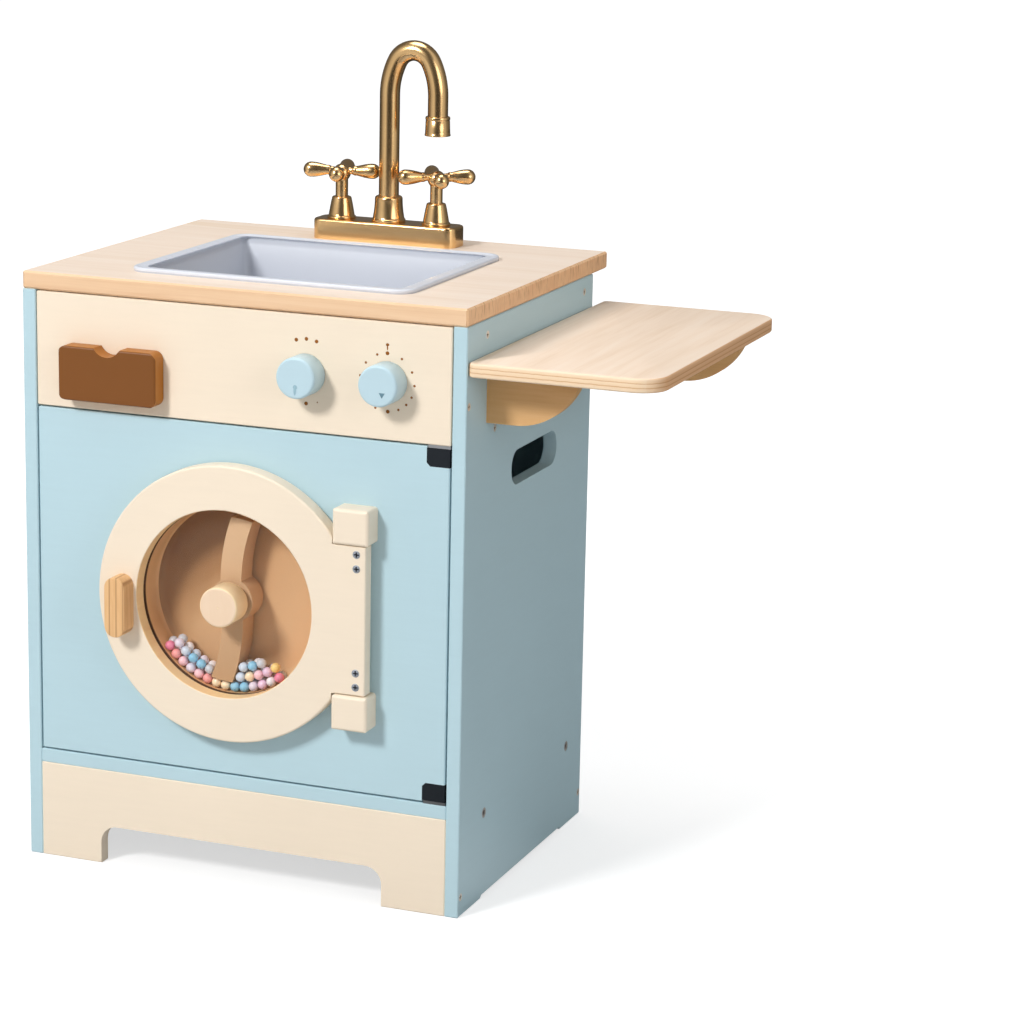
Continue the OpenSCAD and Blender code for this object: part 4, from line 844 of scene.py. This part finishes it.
def buildSpout():
    # a tube of circles about a path in x and z: (x, z) + radius (cos t outward + sin t y); outward turns
    # from -x on the riser through two wide bends and the crown to +x on the drop
    half, crown, spring, radius = (spout[key] for key in ("half", "crown", "spring", "radius"))
    lift = spout["rise"] - crown
    bend = (half ** 2 + lift ** 2 - crown ** 2) / (2 * (half - crown))
    lean = math.degrees(math.atan2(lift, bend - half))
    path = [(0.0, spout["foot"], 180.0)]
    for x, z, curve, first, last, steps in ((bend, spring, bend, 180, 180 - lean, 14),
                                            (half, spring + lift, crown, 180 - lean, lean, 30),
                                            (2 * half - bend, spring, bend, lean, 0, 14)):
        spots, turns = arc(x, z, curve, first, last, steps), np.linspace(first, last, steps)
        path += [(*spot, turn) for spot, turn in zip(spots, turns)][(0 if first == 180 else 1):]
    path.append((2 * half, spring - spout["drop"], 0.0))
    x, z, outward = (column[:, None] for column in np.array(path).T)
    outward = np.radians(outward)
    turn = np.arange(72) * 2 * math.pi / 72
    grid = np.stack((x + radius * np.cos(turn) * np.cos(outward), radius * np.sin(turn) + 0 * x,
                     z + radius * np.cos(turn) * np.sin(outward)), -1)
    ends = [np.broadcast_to(np.array((path[i][0], 0.0, path[i][1])), grid[:1].shape) for i in (0, -1)]
    grid = np.concatenate((ends[0], grid, ends[1])) + np.array((tap["x"], tap["y"], 0))
    makeBrass("tapTube", "spout", [grid], "tap_spout")
    spot = np.array((tap["x"] + 2 * half, tap["y"], spring - 2 * spout["drop"]))
    makeBrass("tapMouth", "spout", [turned(np.array(spout["mouth"], float), 72) + spot], "tap_nozzle")


board = dict(x=200.0, reach=161.0, depth=326.0, top=468.0, thick=12.0, outer=24.0, inner=6.0, edge=2.0)


def buildBoard():
    # the outline, a rectangle with two small and two large corners, carried up a profile that rounds its
    # lower and upper edges: each row is the outline drawn in by the profile's inset
    reach, depth, outer, inner, edge, thick = (board[key] for key in (
        "reach", "depth", "outer", "inner", "edge", "thick"))
    steps = 14
    turn = cornerTurns(steps)
    radius = np.repeat((outer, inner, inner, outer), steps)
    centreX = np.repeat((reach - outer, inner, inner, reach - outer), steps)
    centreY = np.repeat((depth - outer, depth - inner, inner, outer), steps)
    rows = np.concatenate((arc(0, edge, edge, -90, 0, 6), arc(0, thick - edge, edge, 0, 90, 6)))
    spread = radius - (edge - rows[:, 0])[:, None]
    grid = closedGrid(centreX + spread * np.cos(turn), centreY + spread * np.sin(turn), rows[:, 1],
                      (reach / 2, depth / 2))
    makePiece("boardTop", "cabinet", [grid + np.array((board["x"], 0, board["top"] - thick))], "boardWood",
              ["ironing_board"], edge=50)


buildSink()
buildBeads()
print("sink and beads made")
buildScrews()
print("screws made")
buildKnobs()
buildMarks()
print("dials and marks made")
buildPull()
buildTapHandles()
buildTapFeet()
buildSpout()
buildBoard()
print("tap and board made")


# Floor, light and camera
room = dict(floorSize=40.0, floorColour=(0.55, 0.55, 0.55), ambient=0.37, glow=1.0, floorFar=3.0,
            floorGlow=[(0.0, 0.62), (0.2, 0.64), (0.5, 0.76), (0.9, 0.84)],  # by the distance over floorFar
            front=(0.354, -0.935, 0.0),  # level direction in which the mirrored room is darkest
            below=[(0.0, 0.06), (0.2, 0.08), (0.44, 0.2), (0.54, 0.5), (0.72, 0.68), (0.87, 0.84),
                   (0.915, 0.4), (0.95, 0.14), (0.975, 0.06), (1.0, 0.05)],  # brightness in the floor
            above=[(0.0, 0.14), (0.3, 0.16), (0.5, 0.32), (0.6, 0.6), (0.82, 0.72), (0.9, 0.45),
                   (0.95, 0.2), (1.0, 0.08)])  # and above it


def mirroredRoom(bench, way, levels):
    # what metal sees: a dark front between two bright side panels, by the level direction from the object
    flat = bench.add("ShaderNodeVectorMath", dict(operation="MULTIPLY"), {0: way, 1: (1, 1, 0)}).out("Vector")
    unit = bench.add("ShaderNodeVectorMath", dict(operation="NORMALIZE"), {0: flat}).out("Vector")
    ahead = bench.add("ShaderNodeVectorMath", dict(operation="DOT_PRODUCT"),
                      {0: unit, 1: room["front"]}).out("Value")
    return bench.ramp(ahead * 0.5 + 0.5, [(place, (level,) * 3) for place, level in levels])


def cameraRays(bench):
    # 1 for what the camera sees directly or through glass
    path = bench.add("ShaderNodeLightPath")
    total = path.out("Is Camera Ray") + path.out("Is Transmission Ray")
    return total.combine("MINIMUM", total, 1.0)


def buildFloor():
    # a flat square sheet: x and y run over the floor's size on a 2 by 2 grid
    edge = np.array((-0.5, 0.5)) * room["floorSize"]
    x, y = np.meshgrid(edge, edge)
    points = np.stack((x, y, np.zeros_like(x)), -1).reshape(-1, 3)
    mesh = bpy.data.meshes.new("floor")
    mesh.from_pydata(points.tolist(), [], [(0, 1, 3, 2)])
    floor = bpy.data.objects.new("floor", mesh)
    bpy.context.scene.collection.objects.link(floor)
    material, bench = newMaterial("floorSheet")
    diffuse = bench.add("ShaderNodeBsdfDiffuse", None, {"Color": room["floorColour"]}).out(0)
    away = bench.add("ShaderNodeVectorMath", dict(operation="LENGTH"), {0: bench.place()}).out("Value")
    level = bench.ramp(away / room["floorFar"], [(place, (glow,) * 3) for place, glow in room["floorGlow"]])
    glow = bench.add("ShaderNodeEmission", None, {"Color": (1, 1, 1),
                                                  "Strength": cameraRays(bench) * level}).out(0)
    both = bench.add("ShaderNodeAddShader", None, {0: diffuse, 1: glow}).out(0)
    panels = mirroredRoom(bench, bench.place(), room["below"])
    mirrored = bench.add("ShaderNodeEmission", None, {"Color": panels, "Strength": 1.0}).out(0)
    glossy = bench.add("ShaderNodeLightPath").out("Is Glossy Ray")
    seen = bench.add("ShaderNodeMixShader", None, {0: glossy, 1: both, 2: mirrored}).out(0)
    bench.add("ShaderNodeOutputMaterial", None, {"Surface": seen})
    mesh.materials.append(material)


def buildWorld():
    # the camera sees white, metal sees bright panels at both sides of a dark front, and all else the ambient
    world = bpy.data.worlds.new("room")
    bpy.context.scene.world = world
    world.use_nodes = True
    bench = Bench(world.node_tree)
    path = bench.add("ShaderNodeLightPath")
    way = bench.add("ShaderNodeTexCoord").out("Generated")
    mirrored = mirroredRoom(bench, way, room["above"])
    plain = bench.blend(cameraRays(bench), (room["ambient"],) * 3, (room["glow"],) * 3)
    colour = bench.blend(path.out("Is Glossy Ray"), plain, mirrored)
    light = bench.add("ShaderNodeBackground", None, {"Color": colour, "Strength": 1.0}).out(0)
    bench.add("ShaderNodeOutputWorld", None, {"Surface": light})


lamps = {
    "keyLamp": dict(spot=(-1.25, -2.9, 2.55), aim=(0.0, 0.0, 0.3), size=0.8, power=97.0),
    "fillLamp": dict(spot=(2.6, -1.4, 1.2), aim=(0.1, 0, 0.3), size=1.6, power=15.0),
    "topLamp": dict(spot=(-0.3, 0.3, 3.0), aim=(0, 0, 0.3), size=1.6, power=27.0),
}


def lookMatrix(spot, back, roll=0.0):
    # columns are right, up and back of something at spot that looks against back, rolled about it
    level = np.cross((0, 0, 1), back)
    level = level / np.linalg.norm(level)
    rise = np.cross(back, level)
    right = math.cos(roll) * level + math.sin(roll) * rise
    up = math.cos(roll) * rise - math.sin(roll) * level
    return Matrix([*zip(right, up, back, spot), (0, 0, 0, 1)])


def buildLamps():
    for name, lamp in lamps.items():
        light = bpy.data.lights.new(name, "AREA")
        light.shape = "DISK"
        light.size = lamp["size"]
        light.energy = lamp["power"]
        piece = bpy.data.objects.new(name, light)
        back = np.array(lamp["spot"]) - np.array(lamp["aim"])
        piece.matrix_world = lookMatrix(lamp["spot"], back / np.linalg.norm(back))
        bpy.context.scene.collection.objects.link(piece)


cameraSet = dict(turn=20.73055, tilt=13.59158, roll=1.21497, spot=(1.12184, -2.32838, 0.95251),
                 lens=112.957, sensor=36.0, far=60.0)


def buildCamera():
    turn, tilt, roll = (math.radians(cameraSet[key]) for key in ("turn", "tilt", "roll"))
    back = np.array((math.sin(turn) * math.cos(tilt), -math.cos(turn) * math.cos(tilt), math.sin(tilt)))
    data = bpy.data.cameras.new("camera")
    data.lens = cameraSet["lens"]
    data.sensor_width = cameraSet["sensor"]
    data.clip_end = cameraSet["far"]
    camera = bpy.data.objects.new("camera", data)
    camera.matrix_world = lookMatrix(np.array(cameraSet["spot"]) + np.array(shift), back, roll)
    bpy.context.scene.collection.objects.link(camera)
    bpy.context.scene.camera = camera


buildFloor()
buildWorld()
buildLamps()
buildCamera()
bpy.context.scene.view_settings.view_transform = "Standard"
print("floor, light and camera placed")
